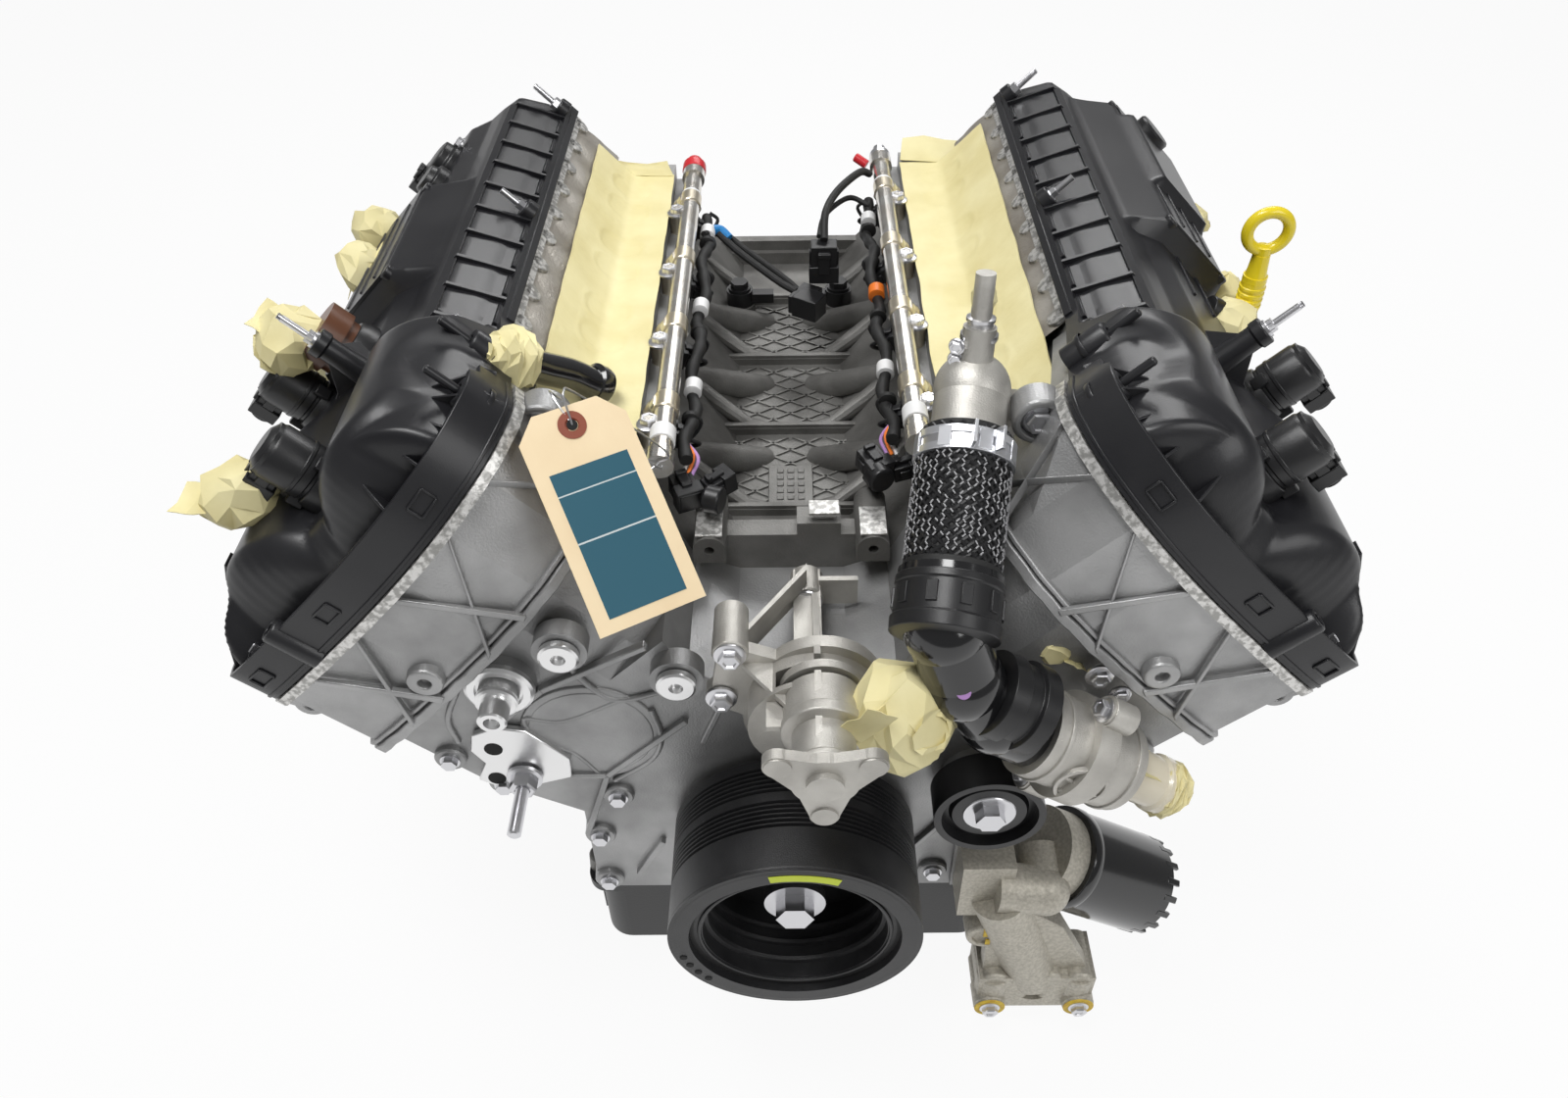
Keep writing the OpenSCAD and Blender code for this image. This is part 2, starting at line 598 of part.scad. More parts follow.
// Plan of a cam cover flange, seen down the bore axis, inset by t
function plan(n, t) = [
    [-76 + t, bank_rear(n) + 2 - t], [-76 + t, front_y + 90], [-112 + t, front_y - 40],
    [-108 + t, front_y - 60 + t / 2], [-92 + t * 0.7, front_y - 84 + t * 0.8], [-60 + t * 0.5, front_y - 106 + t],
    [-20, cover_front + 6 + t], [30, cover_front + t], [cover_out_w - 10 - t / 2, cover_front + t],
    [cover_out_w - t, cover_front + 12 + t / 2], [cover_out_w - t, bank_rear(n) + 2 - t]];
boss_a = [-141, 195];
spindle = [-184, 159];
boss_b = [-72, 168];
idler_c = [131, 55];
module front_cover() color(castgrey) difference() {
    union() {
        // Centre of the case
        xz(case_y, front_y) case_centre(0);
        // The two bank towers, with the cam cover's plan
        for (n = [1, 2], k = tower_levels) intersection() {
            side(n) xz(k[1], front_y) polygon(case_side(0));
            bank(n) translate([0, 0, k[0]]) linear_extrude(seam_u - k[0]) polygon(plan(n, k[2]));
        }
        // Round bosses on the front face
        for (p = [boss_a, boss_b]) ycyl(17, case_y - 12, case_y + 1, p[0], p[1]);
        ycyl(22, case_y - 8, case_y + 1, spindle[0], spindle[1]);
        ycyl(13, case_y - 18, case_y + 1, spindle[0], spindle[1]);
        ycyl(30, case_y - 10, case_y + 1, idler_c[0], idler_c[1]);
        ycyl(52, case_y - 3, case_y + 1, 0, 0);
        // Bolt bosses round the edge
        for (p = case_bolt_points) ycyl(10, p[2], case_y + 12, p[0], p[1]);
        // Pad for the oil filter adapter
        translate([118, case_y - 6, -78]) cube([42, 60, 70]);
    }
    xz(case_y + case_t, front_y + 1) case_centre(case_t);
    for (n = [1, 2], k = tower_levels) intersection() {
        side(n) xz(k[1] + case_t, front_y + 1) polygon(case_side(case_t));
        bank(n) translate([0, 0, k[0] == tower_lo ? tower_lo - 2 * case_t : k[0] + case_t]) linear_extrude(seam_u)
            polygon(plan(n, k[2] + case_t));
    }
    ycyl(34, case_y - 20, case_y + 10);
    // Water pump chamber
    ycyl(26, case_y - 20, case_y + case_t + 1, pump_x - 4, pump_z - 62);
    for (p = [boss_a, boss_b]) ycyl(4.2, case_y - 13, case_y + 8, p[0], p[1]);
    ycyl(5, case_y - 19, case_y + 8, spindle[0], spindle[1]);
}
stud_c = [-183, 66];
case_bolt_points = [[-232, 80, case_y - 4], [-123, 36, case_y - 4], [-141, -71, case_y - 4],
    [104, -62, case_y - 4], [-141, -12, case_y - 4], [232, 80, case_y - 4], [-200, 52, case_y - 4]];

module case_bolts() color([0.75, 0.75, 0.78]) {
    for (p = case_bolt_points) front_bolt(p[0], p[2], p[1], 5.5, 0);
    // Hexagon stud on the flank of the case
    front_bolt(stud_c[0], case_y, stud_c[1], 9, 0);
    ycyl(3.5, case_y - 42, case_y - 8, stud_c[0], stud_c[1]);
}

// Cam cover cross-section over the head, inset by t
function cover_section(t) = [
    [-76 + t, seam_u + base_shift(t)], [-76 + t, seam_u + cover_flange - 2], [-70 + t, seam_u + cover_flange - 2],
    [-66 + t, seam_u + 24 - t / 2], [-54 + t, seam_u + 46 - t], [-36, seam_u + 50 - t],
    [-20, seam_u + 52 - t], [0, seam_u + 60 - t], [62, seam_u + 60 - t], [cover_out_w - 30 - t / 2, seam_u + 46 - t],
    [cover_out_w - 14 - t, seam_u + cover_flange - 2], [cover_out_w - t, seam_u + cover_flange - 2],
    [cover_out_w - t, seam_u + base_shift(t)]];
// A cover's base stands on the seam; its hollow starts below it
function base_shift(t) = t > 0 ? -1 : face_gap;
module dome_outline(t) {
    for (w = [cam_in_w, cam_ex_w]) translate([w, cam_u]) circle(dome_r - t);
    polygon([[-104 + t, seam_u + base_shift(t)], [-104 + t, cam_u], [cam_in_w, cam_u + 34 - t], [cam_ex_w, cam_u + 34 - t],
        [cover_out_w - t, cam_u + 20], [cover_out_w - t, seam_u + base_shift(t)]]);
}
module cam_cover(n) color(plastic) {
    bank(n) difference() {
        union() {
            xz(front_y + 30, bank_rear(n) + 2) polygon(cover_section(0));
            intersection() {
                xz(cover_front, front_y + 34) dome_outline(0);
                translate([0, 0, seam_u + face_gap]) linear_extrude(90) polygon(plan(n, 3));
            }
            // Flange
            translate([0, 0, seam_u + face_gap]) linear_extrude(cover_flange) polygon(plan(n, 0));
            translate([arm_tip[0], arm_tip[1], seam_u + 50]) cylinder(r = 8, h = arm_tip[2] + 8 - seam_u - 50);
            // Raised front lip
            difference() {
                translate([0, 0, seam_u + face_gap]) linear_extrude(28) polygon(plan(n, 0));
                translate([-200, front_y - 40, seam_u - 1]) cube([400, 700, 60]);
                translate([0, 0, seam_u - 1]) linear_extrude(60) polygon(plan(n, 5));
            }
            separator_box(n);
            // Sockets of the solenoids
            for (p = vct_points) translate([p[0], p[1], p[2] - 30]) cylinder(r = 19, h = 30);
            // Webs of the stand-off boss
            xz(arm_tip[1] - 3, arm_tip[1] + 3) polygon([[-44, seam_u + 44], [arm_tip[0] - 4, arm_tip[2] - 3],
                [arm_tip[0] + 4, arm_tip[2] - 3], [arm_tip[0] + 30, seam_u + 50]]);
            // Ears under the inboard bolts
            for (y = cover_bolt_ys(n)) translate([ear_w, y, seam_u + face_gap]) cylinder(r = 8, h = ear_h - face_gap);
        }
        // Hollow inside
        xz(front_y + 20, bank_rear(n) - 4) polygon(cover_section(cover_t));
        intersection() {
            xz(cover_front - 10, front_y + 26) dome_outline(cover_t);
            translate([0, 0, seam_u - 2]) linear_extrude(90) polygon(plan(n, 3 + cover_t));
        }
        translate([0, 0, seam_u - 1]) linear_extrude(cover_flange - 3) polygon(plan(n, 8 + cover_t));
        for (p = vct_points) translate([p[0], p[1], p[2] - 60]) cylinder(r = 12.5, h = 61);
    }
    // Row of gussets along the inboard edge
    bank(n) for (k = [0:9]) translate([0, front_y + 74 + k * gusset_pitch(n), 0]) xz(0, 3.5)
        polygon([[-76, seam_u + cover_flange - 3], [-57, seam_u + 48], [-52, seam_u + 48], [-69, seam_u + cover_flange - 3]]);
}
arm_tip = [4, front_y + 58, seam_u + 86];
ear_h = 17;
ear_w = -74;
function cover_bolt_ys(n) = [bank_rear(n) - 14, (front_y + bank_rear(n)) / 2 + 16, front_y + 60];
function gusset_pitch(n) = (bank_rear(n) - front_y - 100) / 9;
// Solenoid sockets: w, y, height of the socket rim
// and depth of the plug below it
vct_points = [[66, front_y + 79, seam_u + 66, 20], [9, front_y - 46, seam_u + 58, 12]];
module separator_box(n) {
    y0 = n == 2 ? front_y + 212 : front_y + 150;
    y1 = n == 2 ? bank_rear(n) - 16 : front_y + 300;
    xz(y0, y1) polygon([[-44, seam_u + 46], [-34, seam_u + 53], [-6, seam_u + 75], [66, seam_u + 75], [84, seam_u + 50]]);
    if (n == 2) xz(y0 + 70, y1 - 30) polygon([[-10, seam_u + 72], [0, seam_u + 84], [60, seam_u + 84], [72, seam_u + 60]]);
}
module bank1_cam_cover() cam_cover(1);
module bank2_cam_cover() cam_cover(2);

// Oil pan
module oil_pan() color(plastic) difference() {
    union() {
        translate([0, (case_y + block_rear) / 2, rail_z - 8]) linear_extrude(8)
            round_rect(rail_x + 2, (block_rear - case_y) / 2, 14);
        translate([0, (case_y + block_rear) / 2 + 14, pan_z]) linear_extrude(pan_d - 6)
            round_rect(pan_x, (block_rear - case_y) / 2 - 22, 22);
    }
    translate([0, (case_y + block_rear) / 2 + 14, pan_z + pan_t]) linear_extrude(pan_d)
        round_rect(rail_x - 10, (block_rear - case_y) / 2 - 22 - pan_t, 18);
    // Drain hole
    translate([pan_x - 60, block_rear - 120, pan_z - 1]) cylinder(r = 7, h = pan_t + 2);
}

// Torsional damper
groove_n = 6;
groove_w = 3.56;
ring_in = damper_r - 14;
rubber_t = 3;
bowl_r = ring_in - rubber_t - 6;
module damper_hub() color(plastic) difference() {
    union() {
        ycyl(28, case_y - 9, case_y + 20);
        ycyl(ring_in - rubber_t, damper_front + 6, damper_rear);
    }
    ycyl(nose_r, damper_front, case_y + 21);
    ycyl(bowl_r, damper_front - 1, damper_rear - 26);
    ycyl(nose_r + 7, damper_rear - 30, damper_rear - 20);
}
module damper_rubber() color([0.08, 0.08, 0.08]) difference() {
    ycyl(ring_in, damper_front + 6, damper_rear);
    ycyl(ring_in - rubber_t, damper_front + 5, damper_rear + 1);
}
module damper_ring() color(plastic) difference() {
    ycyl(damper_r, damper_front, damper_rear);
    ycyl(ring_in, damper_front - 1, damper_rear + 1);
    // Two groups of belt grooves
    for (g = [0, 1], k = [0:groove_n - 1]) groove(damper_rear - 8 - g * 27 - k * groove_w);
}
module groove(y) translate([0, y, 0]) rotate([90, 0, 0]) rotate_extrude($fn = 96)
    polygon([[damper_r + 1, -1.5], [damper_r - 3, -0.3], [damper_r - 3, 0.3], [damper_r + 1, 1.5]]);
module crank_bolt() color([0.7, 0.7, 0.7]) {
    ycyl(nose_r + 5, damper_front + 27, damper_front + 34);
    ycyl(6.5, damper_front + 30, damper_front + 78);
    translate([0, damper_front + 28, 0]) rotate([90, 0, 0]) cylinder(r = 13, h = 13, $fn = 6);
}

// Water pump
pump_top = [10, 166];
pump_top_y = case_y + 60;
pump_bolts = [[-38, 190], [-45, 150], [62, 122]];
pump_web_foot = [pump_bolts[0][0] + 3, case_y + 4];
module water_pump_body() color([0.7, 0.7, 0.68]) difference() {
    union() {
        // Mounting plate and its ears
        xz(case_y - 9, case_y - face_gap) {
            belt2d([pump_x, pump_z - 14], 38, [pump_x - 10, damper_r + 43], 40);
            for (p = pump_bolts) translate(p) circle(10);
            polygon([pump_bolts[0] + [-6, 8], pump_bolts[1] - [8, 6], [pump_x, pump_z - 70], [pump_x, pump_z]]);
            polygon([pump_bolts[2] + [6, 8], pump_bolts[2] - [-6, 8], [pump_x, pump_z - 70], [pump_x, pump_z]]);
        }
        // Upper arm that reaches back over the case
        translate([pump_top[0] - 9, case_y - 9, pump_top[1] - 12]) cube([18, pump_top_y - case_y + 30, 20]);
        ycyl(11, pump_top_y, pump_top_y + 22, pump_top[0], pump_top[1]);
        translate([pump_top[0] + 8, pump_top_y + 6, pump_top[1] - 10]) cube([26, 4, 22]);
        // Column of the upper left bolt, its web to the arm and its gusset to the barrel
        ycyl(11, case_y - 9, case_y + 26, pump_bolts[0][0], pump_bolts[0][1]);
        translate([0, 0, pump_top[1] + 3]) linear_extrude(pump_bolts[0][1] - pump_top[1] - 3)
            polygon([pump_web_foot - [0, 5], pump_web_foot, [pump_top[0], pump_top_y + 10], [pump_top[0], pump_top_y + 4]]);
        translate([0, 0, pump_z + 5]) linear_extrude(4)
            polygon([[pump_bolts[0][0], case_y - 1], [pump_x - 10, pump_front + 36], [pump_x - 10, case_y - 1]]);
        // Rib along the top of the barrel
        translate([pump_x - 5, 0, 0]) rotate([90, 0, 90]) linear_extrude(4)
            polygon([[pump_top_y + 6, pump_top[1] - 6], [pump_top_y + 6, pump_top[1] + 6], [case_y - 20, pump_z + 28],
                [pump_front + 18, pump_z + 18], [pump_front + 18, pump_z], [case_y - 20, pump_z]]);
        // Volute
        ycyl(42, case_y - 34, case_y - 8, pump_x - 4, pump_z - 24);
        // Bearing barrel
        ycyl(19, pump_front + 12, case_y - 30, pump_x, pump_z);
        ycyl(24, case_y - 50, case_y - 30, pump_x, pump_z);
        // Ribs from the barrel to the volute
        for (a = [150, 210, 270]) translate([pump_x, 0, pump_z]) rotate([0, a, 0])
            translate([-2, pump_front + 40, 0]) cube([4, case_y - pump_front - 70, 34]);
        // Outlet
        bar([pump_x + 10, case_y - 26, pump_z - 26], [pump_x + 50, case_y - 32, pump_z - 10], 17);
    }
    ycyl(13 + run_gap, pump_front + 11, case_y - 20, pump_x, pump_z);
    ycyl(30, case_y - 30, case_y - 18, pump_x, pump_z);
    bar([pump_x + 30, case_y - 29, pump_z - 18], [pump_x + 51, case_y - 32.1, pump_z - 9.6], 13);
}
module water_pump_hub() color([0.7, 0.7, 0.68]) difference() {
    union() {
        ycyl(13, pump_front + 6, case_y - 22, pump_x, pump_z);
        ycyl(26, case_y - 27, case_y - 21, pump_x, pump_z);
        xz(pump_front, pump_front + 7) translate([pump_x, pump_z]) {
            circle(20);
            for (k = [0:2]) rotate(k * 120 + 30) {
                translate([pump_pcd / 2, 0]) circle(9);
                polygon([[0, 19], [pump_pcd / 2, 9], [pump_pcd / 2, -9], [0, -19]]);
            }
        }
        ycyl(11, pump_front - 4, pump_front + 1, pump_x, pump_z);
    }
    for (k = [0:2]) translate([pump_x, 0, pump_z]) rotate([0, -k * 120 - 30, 0])
        ycyl(4, pump_front - 1, pump_front + 8, pump_pcd / 2, 0);
}

// Idler pulley
idler_front = case_y - 37;
module idler_pulley() color(plastic) difference() {
    union() {
        ycyl(idler_r, idler_front, idler_front + idler_l, idler_c[0], idler_c[1]);
        ycyl(16, idler_front + 2, case_y - 10 - seat, idler_c[0], idler_c[1]);
    }
    ycyl(idler_r - 5, idler_front - 1, idler_front + 8, idler_c[0], idler_c[1]);
    ycyl(6 + run_gap, idler_front - 1, case_y, idler_c[0], idler_c[1]);
}
module idler_bolt() color([0.75, 0.75, 0.78]) {
    ycyl(6, idler_front + 4, case_y - 10, idler_c[0], idler_c[1]);
    ycyl(17, idler_front + 4, idler_front + 8 - seat, idler_c[0], idler_c[1]);
    translate([idler_c[0], idler_front + 4.5, idler_c[1]]) rotate([90, 0, 0]) cylinder(r = 10, h = 9, $fn = 6);
}

// Coolant outlet: neck, hose, elbow and thermostat housing
hose_top = [106, front_y - 36, 292];
hose_bottom = [90, case_y - 16, 240];
hose_dir = (hose_bottom - hose_top) / norm(hose_bottom - hose_top);
hose_in_r = hose_r - hose_t;
neck_c = hose_top - 30 * hose_dir;
neck_u = (neck_c[0] + neck_c[2]) * s45;
neck_w = (neck_c[0] - neck_c[2]) * s45;
elbow_mid = [101, case_y - 36, 194];
stat_dir = [0.84, 0, -0.5426];
stat_c = [171, case_y - 36, 132];
stat_in = stat_c - 30 * stat_dir;
stat_out = stat_c + 40 * stat_dir;
stub_end = stat_out + 44 * stat_dir;
stat_r = 29;
module coolant_neck() color([0.72, 0.72, 0.7]) difference() {
    union() {
        bar(neck_c, hose_top + 24 * hose_dir, hose_in_r - 0.1);
        translate(neck_c) sphere(r = hose_in_r + 1);
        bar(neck_c, neck_c + [2, 8, 40], 10);
        bar(neck_c + [2, 8, 38], neck_c + [3, 14, 72], 6);
        // Leg and flange to the timing case
        bank(2) translate([neck_w, neck_c[1], neck_u]) rotate([0, 90, 0]) cylinder(r = 14, h = -107 - neck_w);
        bank(2) translate([-113, neck_c[1], neck_u]) rotate([0, 90, 0]) cylinder(r = 19, h = 6);
    }
    bar(neck_c + 8 * hose_dir, hose_top + 25 * hose_dir, hose_in_r - 3);
}
module coolant_hose() color([0.1, 0.1, 0.1]) difference() {
    bar(hose_top, hose_bottom, hose_r);
    bar(hose_top - hose_dir, hose_bottom + hose_dir, hose_in_r);
}
module hose_clamp() color([0.6, 0.62, 0.64]) difference() {
    bar(hose_top + 6 * hose_dir, hose_top + 18 * hose_dir, hose_r + 2.5);
    bar(hose_top + 5 * hose_dir, hose_top + 19 * hose_dir, hose_r + 0.2);
}
module coolant_elbow() color(plastic) {
    turn = hose_bottom + 16 * hose_dir;
    difference() {
        union() {
            bar(hose_bottom - 26 * hose_dir, hose_bottom + 2 * hose_dir, hose_in_r - 0.1);
            difference() {
                bar(hose_bottom - 16 * hose_dir, hose_bottom + 20 * hose_dir, hose_r + 4);
                bar(hose_bottom - 17 * hose_dir, hose_bottom + 0.1 * hose_dir, hose_r + 0.1);
            }
            bar(hose_bottom + hose_dir, turn, 24);
        }
        bar(hose_bottom - 27 * hose_dir, hose_bottom + 4 * hose_dir, hose_in_r - 4);
    }
    translate(turn) sphere(r = 24.6);
    bar(turn, elbow_mid, 23.4);
    translate(elbow_mid) sphere(r = 25);
    bar(elbow_mid, stat_in - 27 * stat_dir, 23.4);
    translate(stat_in - 27 * stat_dir) sphere(r = 25);
    bar(stat_in - 27 * stat_dir, stat_in, 24);
}
module thermostat_housing() color([0.68, 0.68, 0.67]) {
    bar(stat_in + 0.01 * stat_dir, stat_out, stat_r);
    bar(stat_in + 26 * stat_dir, stat_in + 42 * stat_dir, stat_r + 6);
    for (s = [-1, 1]) {
        e = stat_in + 34 * stat_dir + s * (stat_r + 9) * [stat_dir[2], 0, -stat_dir[0]];
        bar(e - 8 * stat_dir, e + 8 * stat_dir, 9);
    }
    bar(stat_out - stat_dir, stub_end, 17);
    // Foot to the timing case
    translate([stat_c[0] - 14, stat_c[1], stat_c[2] - 22]) cube([32, case_y - stat_c[1] - face_gap, 30]);
}

// Oil filter and its adapter
filter_dir = [0.8, 0.1, -0.5916];
filter_seat = [194, case_y + 2, -50];
adapter_y = case_y - 30;
foot_xs = [153, 223];
foot_z = -179;
module oil_filter_adapter() color([0.72, 0.72, 0.7]) difference() {
    union() {
        translate([120, case_y - 34, -74]) cube([38, 27.9, 62]);
        bar([150, adapter_y, -50], [(foot_xs[0] + foot_xs[1]) / 2, adapter_y, foot_z + 16], 22);
        translate([foot_xs[0] - 10, case_y - 48, foot_z - 10]) cube([foot_xs[1] - foot_xs[0] + 20, 40, 44]);
        bar([146, adapter_y, -42], [182, adapter_y, -46], 18);
        translate([182, adapter_y, -46]) sphere(r = 18.6);
        bar([182, adapter_y, -46], filter_seat - 14 * filter_dir, 17);
        bar(filter_seat - 16 * filter_dir, filter_seat + 4 * filter_dir, 34);
        for (x = foot_xs) ycyl(12, case_y - 54, case_y - 12, x, foot_z);
    }
    for (x = foot_xs) ycyl(4.3, case_y - 55, case_y - 22, x, foot_z);
    ycyl(12, case_y - 49, case_y - 18, (foot_xs[0] + foot_xs[1]) / 2, foot_z + 12);
}
module oil_filter() color(plastic) {
    a = filter_seat + 4.01 * filter_dir;
    bar(a, a + (filter_l - 8) * filter_dir, filter_r);
    bar(a + (filter_l - 9) * filter_dir, a + filter_l * filter_dir, filter_r - 7);
}

// Fuel rails and injectors
fuel_z = port_z + 1;
rail_front = cyl_y(1, 0) - 60;
rail_boss_x = 95;
module fuel_rails() color([0.75, 0.75, 0.74]) for (n = [1, 2]) side(n) {
    ycyl(rail_r, cyl_y(n, 0) - 62, cyl_y(n, 3) + 52, fuel_x, fuel_z);
    ycyl(rail_r + 1.5, cyl_y(n, 0) - 66, cyl_y(n, 0) - 52, fuel_x, fuel_z);
    ycyl(rail_r + 2, cyl_y(n, 3) + 44, cyl_y(n, 3) + 60, fuel_x, fuel_z);
    for (i = [0:3]) {
        y = cyl_y(n, i);
        // Injector cup and bolt boss
        injector_axis(y) cylinder(r = 11, h = 14);
        translate([rail_boss_x, y - 22, ledge_z]) cylinder(r = 7, h = 16);
        translate([fuel_x, y - 27, fuel_z - 5]) cube([rail_boss_x - fuel_x, 10, 8]);
        translate([rail_boss_x, y - 22, ledge_z + 16]) hex_bolt(5.5, 6, 3, 4);
    }
}
module injectors() color([0.2, 0.2, 0.2]) for (n = [1, 2], i = [0:3]) side(n)
    injector_axis(cyl_y(n, i)) {
        translate([0, 0, 14 + seat]) cylinder(r = injector_r, h = 28);
        translate([0, 0, 19.5]) rotate([0, 90, 0]) cylinder(r = 4, h = 20);
    }

module knock_sensors() color([0.2, 0.2, 0.2]) for (sx = [-1, 1]) translate([sx * knock_x, knock_y, knock_z]) {
    cylinder(r = 12, h = 14);
    translate([0, 0, 14]) hex_bolt(8, 8, 4, 0);
    translate([-sx * 20 - 11, -5, 2]) cube([22, 10, 9]);
}

module vct_solenoids() color(plastic) for (n = [1, 2]) bank(n) for (p = vct_points)
    translate([p[0], p[1], p[2]]) {
        translate([0, 0, -p[3]]) cylinder(r = 12.2, h = p[3] + 2);
        translate([0, 0, seat]) cylinder(r = 17, h = 32);
        translate([0, 0, 22]) rotate([0, 90, 0]) cylinder(r = 9, h = 34);
    }

module oil_filler_neck() color([0.3, 0.18, 0.12]) bank(1) {
    translate([24, front_y + 93, seam_u + 60.01]) cylinder(r = 20, h = 18);
    translate([24, front_y + 93, seam_u + 78]) cylinder(r = 23, h = 16);
}

// Dipstick beside bank 2
stick_gap = 16.83;
stick_x = bx(cover_out_w, seam_u + cover_flange) + stick_gap;
stick_y = -280;
stick_top = bz(62, seam_u + 60) - 3;
module dipstick_tube() color([0.6, 0.6, 0.6]) {
    difference() {
        translate([stick_x, stick_y, 10]) cylinder(r = 5, h = stick_top - 10);
        translate([stick_x, stick_y, 20]) cylinder(r = 3.6, h = stick_top);
    }
    translate([stick_x, stick_y, 10]) sphere(r = 5.6);
    bar([stick_x, stick_y, 10], [skirt_x + 40, stick_y, -60], 5);
    translate([skirt_x + 40, stick_y, -60]) sphere(r = 5.6);
    bar([skirt_x + 40, stick_y, -60], [skirt_x, stick_y, -60], 5);
    // Bracket to the head
    x0 = 147 + 2 * head_ex_w * s45;
    translate([x0, stick_y - 8, 144]) cube([stick_x - x0 - 4.2, 16, 3]);
}
module dipstick() color("gold") {
    translate([stick_x, stick_y, 22]) cylinder(r = 2.5, h = stick_top - 20);
    translate([stick_x, stick_y, stick_top + seat]) cylinder(r = 9, h = 30);
    translate([stick_x, stick_y, stick_top + 28]) cylinder(r = 6, h = 26);
    translate([stick_x, stick_y, stick_top + 66]) rotate([90, 0, 0]) rotate_extrude() translate([15, 0]) circle(4.5);
}

// Studs and bolts of the cam covers
module cover_fasteners() color([0.7, 0.7, 0.72]) for (n = [1, 2]) bank(n) {
    for (y = cover_bolt_ys(n)) translate([ear_w, y, seam_u + ear_h]) {
        hex_bolt(4.2, 7, 3, 0);
        cylinder(r = 2.5, h = 22);
    }
    translate(arm_tip + [0, 0, 8]) {
        hex_bolt(5, 6, 2.5, 0);
        cylinder(r = 2.5, h = 24);
    }
}

module port_tapes() color([0.93, 0.9, 0.68]) for (n = [1, 2]) side(n)
    translate([port_in_x + 1, cyl_y(n, 0) - 44, port_z]) cube([port_out_x - port_in_x - 2, 3 * bore_pitch + 96, 0.6]);

// Card tag, wired to the front end of a fuel rail
tag_c = [-104, front_y - 92, 284];
module hang_tag() color([0.9, 0.82, 0.62]) {
    translate(tag_c) rotate([38, 0, 30]) translate([-33, -66, 0]) cube([66, 132, 0.6]);
    bar(tag_c + [-23.4, 40.6, 37.4], [-fuel_x, rail_front - 6, fuel_z + rail_r + 2.2], 0.8);
}

engine_block();
main_bearing_caps();
rear_seal_plate();
crankshaft();
connecting_rods();
piston_1();
piston_2();
piston_3();
piston_4();
piston_5();
piston_6();
piston_7();
piston_8();
head_gaskets();
bank1_cylinder_head();
bank2_cylinder_head();
cam_caps();
bank1_intake_camshaft();
bank1_exhaust_camshaft();
bank2_intake_camshaft();
bank2_exhaust_camshaft();
bank1_intake_phaser();
bank1_exhaust_phaser();
bank2_intake_phaser();
bank2_exhaust_phaser();
crank_sprocket();
primary_chains();
secondary_chains();
chain_guides();
oil_pump();
front_cover();
bank1_cam_cover();
bank2_cam_cover();
oil_pan();
damper_hub();
damper_rubber();
damper_ring();
crank_bolt();
water_pump_body();
water_pump_hub();
idler_pulley();
idler_bolt();
thermostat_housing();
coolant_elbow();
coolant_hose();
hose_clamp();
coolant_neck();
oil_filter_adapter();
oil_filter();
fuel_rails();
injectors();
knock_sensors();
vct_solenoids();
oil_filler_neck();
dipstick_tube();
dipstick();
cover_fasteners();
case_bolts();
port_tapes();
hang_tag();
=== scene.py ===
import random
from math import cos, hypot, pi, radians, sin, sqrt

import bmesh
import bpy
from mathutils import Matrix, Vector, noise


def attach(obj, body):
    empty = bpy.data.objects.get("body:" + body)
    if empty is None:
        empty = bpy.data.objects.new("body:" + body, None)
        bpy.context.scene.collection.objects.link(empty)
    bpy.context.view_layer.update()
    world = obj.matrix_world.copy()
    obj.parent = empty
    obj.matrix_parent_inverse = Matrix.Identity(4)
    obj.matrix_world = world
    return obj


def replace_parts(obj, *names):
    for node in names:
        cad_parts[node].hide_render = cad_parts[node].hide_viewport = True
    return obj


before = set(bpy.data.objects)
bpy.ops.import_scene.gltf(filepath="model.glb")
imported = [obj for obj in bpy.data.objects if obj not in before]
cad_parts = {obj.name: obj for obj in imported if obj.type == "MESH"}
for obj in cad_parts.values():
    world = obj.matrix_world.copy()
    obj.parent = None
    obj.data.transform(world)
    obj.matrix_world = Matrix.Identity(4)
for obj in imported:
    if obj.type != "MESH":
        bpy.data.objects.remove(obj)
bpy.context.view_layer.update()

# Lengths are in millimetres; MM turns them into metres
MM = 0.001
S45 = sqrt(0.5)
FRONT_Y, CASE_Y, DAMPER_FRONT = -472.0, -580.0, -674.0
SEAM_U, PORT_Z, FUEL_X, VALLEY_Z = 340.0, 244.0, 85.0, 138.0
BANK_REAR = {1: -32.0, 2: -12.0}
REAR_BORE = {1: -110.0, 2: -90.0}
PITCH = 100.0


def V(*c):
    return Vector(c)


FWD, BACK, TOP, DOWN = V(0, -1, 0), V(0, 1, 0), V(0, 0, 1), V(0, 0, -1)


def sgn(n):
    return -1.0 if n == 1 else 1.0


def cyl_y(n, i):
    return REAR_BORE[n] - (3 - i) * PITCH


def bank(n, w, u, y=0.0):
    """Place or direction in bank n's own frame: w across it, u along its bores."""
    return V(sgn(n) * (u + w) * S45, y, (u - w) * S45)


# ---------------------------------------------------------------- materials
SLOTS = {}


def noise_node(t, scale, detail):
    co, n = t.nodes.new("ShaderNodeTexCoord"), t.nodes.new("ShaderNodeTexNoise")
    n.inputs["Scale"].default_value = scale
    n.inputs["Detail"].default_value = detail
    t.links.new(co.outputs["Object"], n.inputs["Vector"])
    return n.outputs["Fac"]


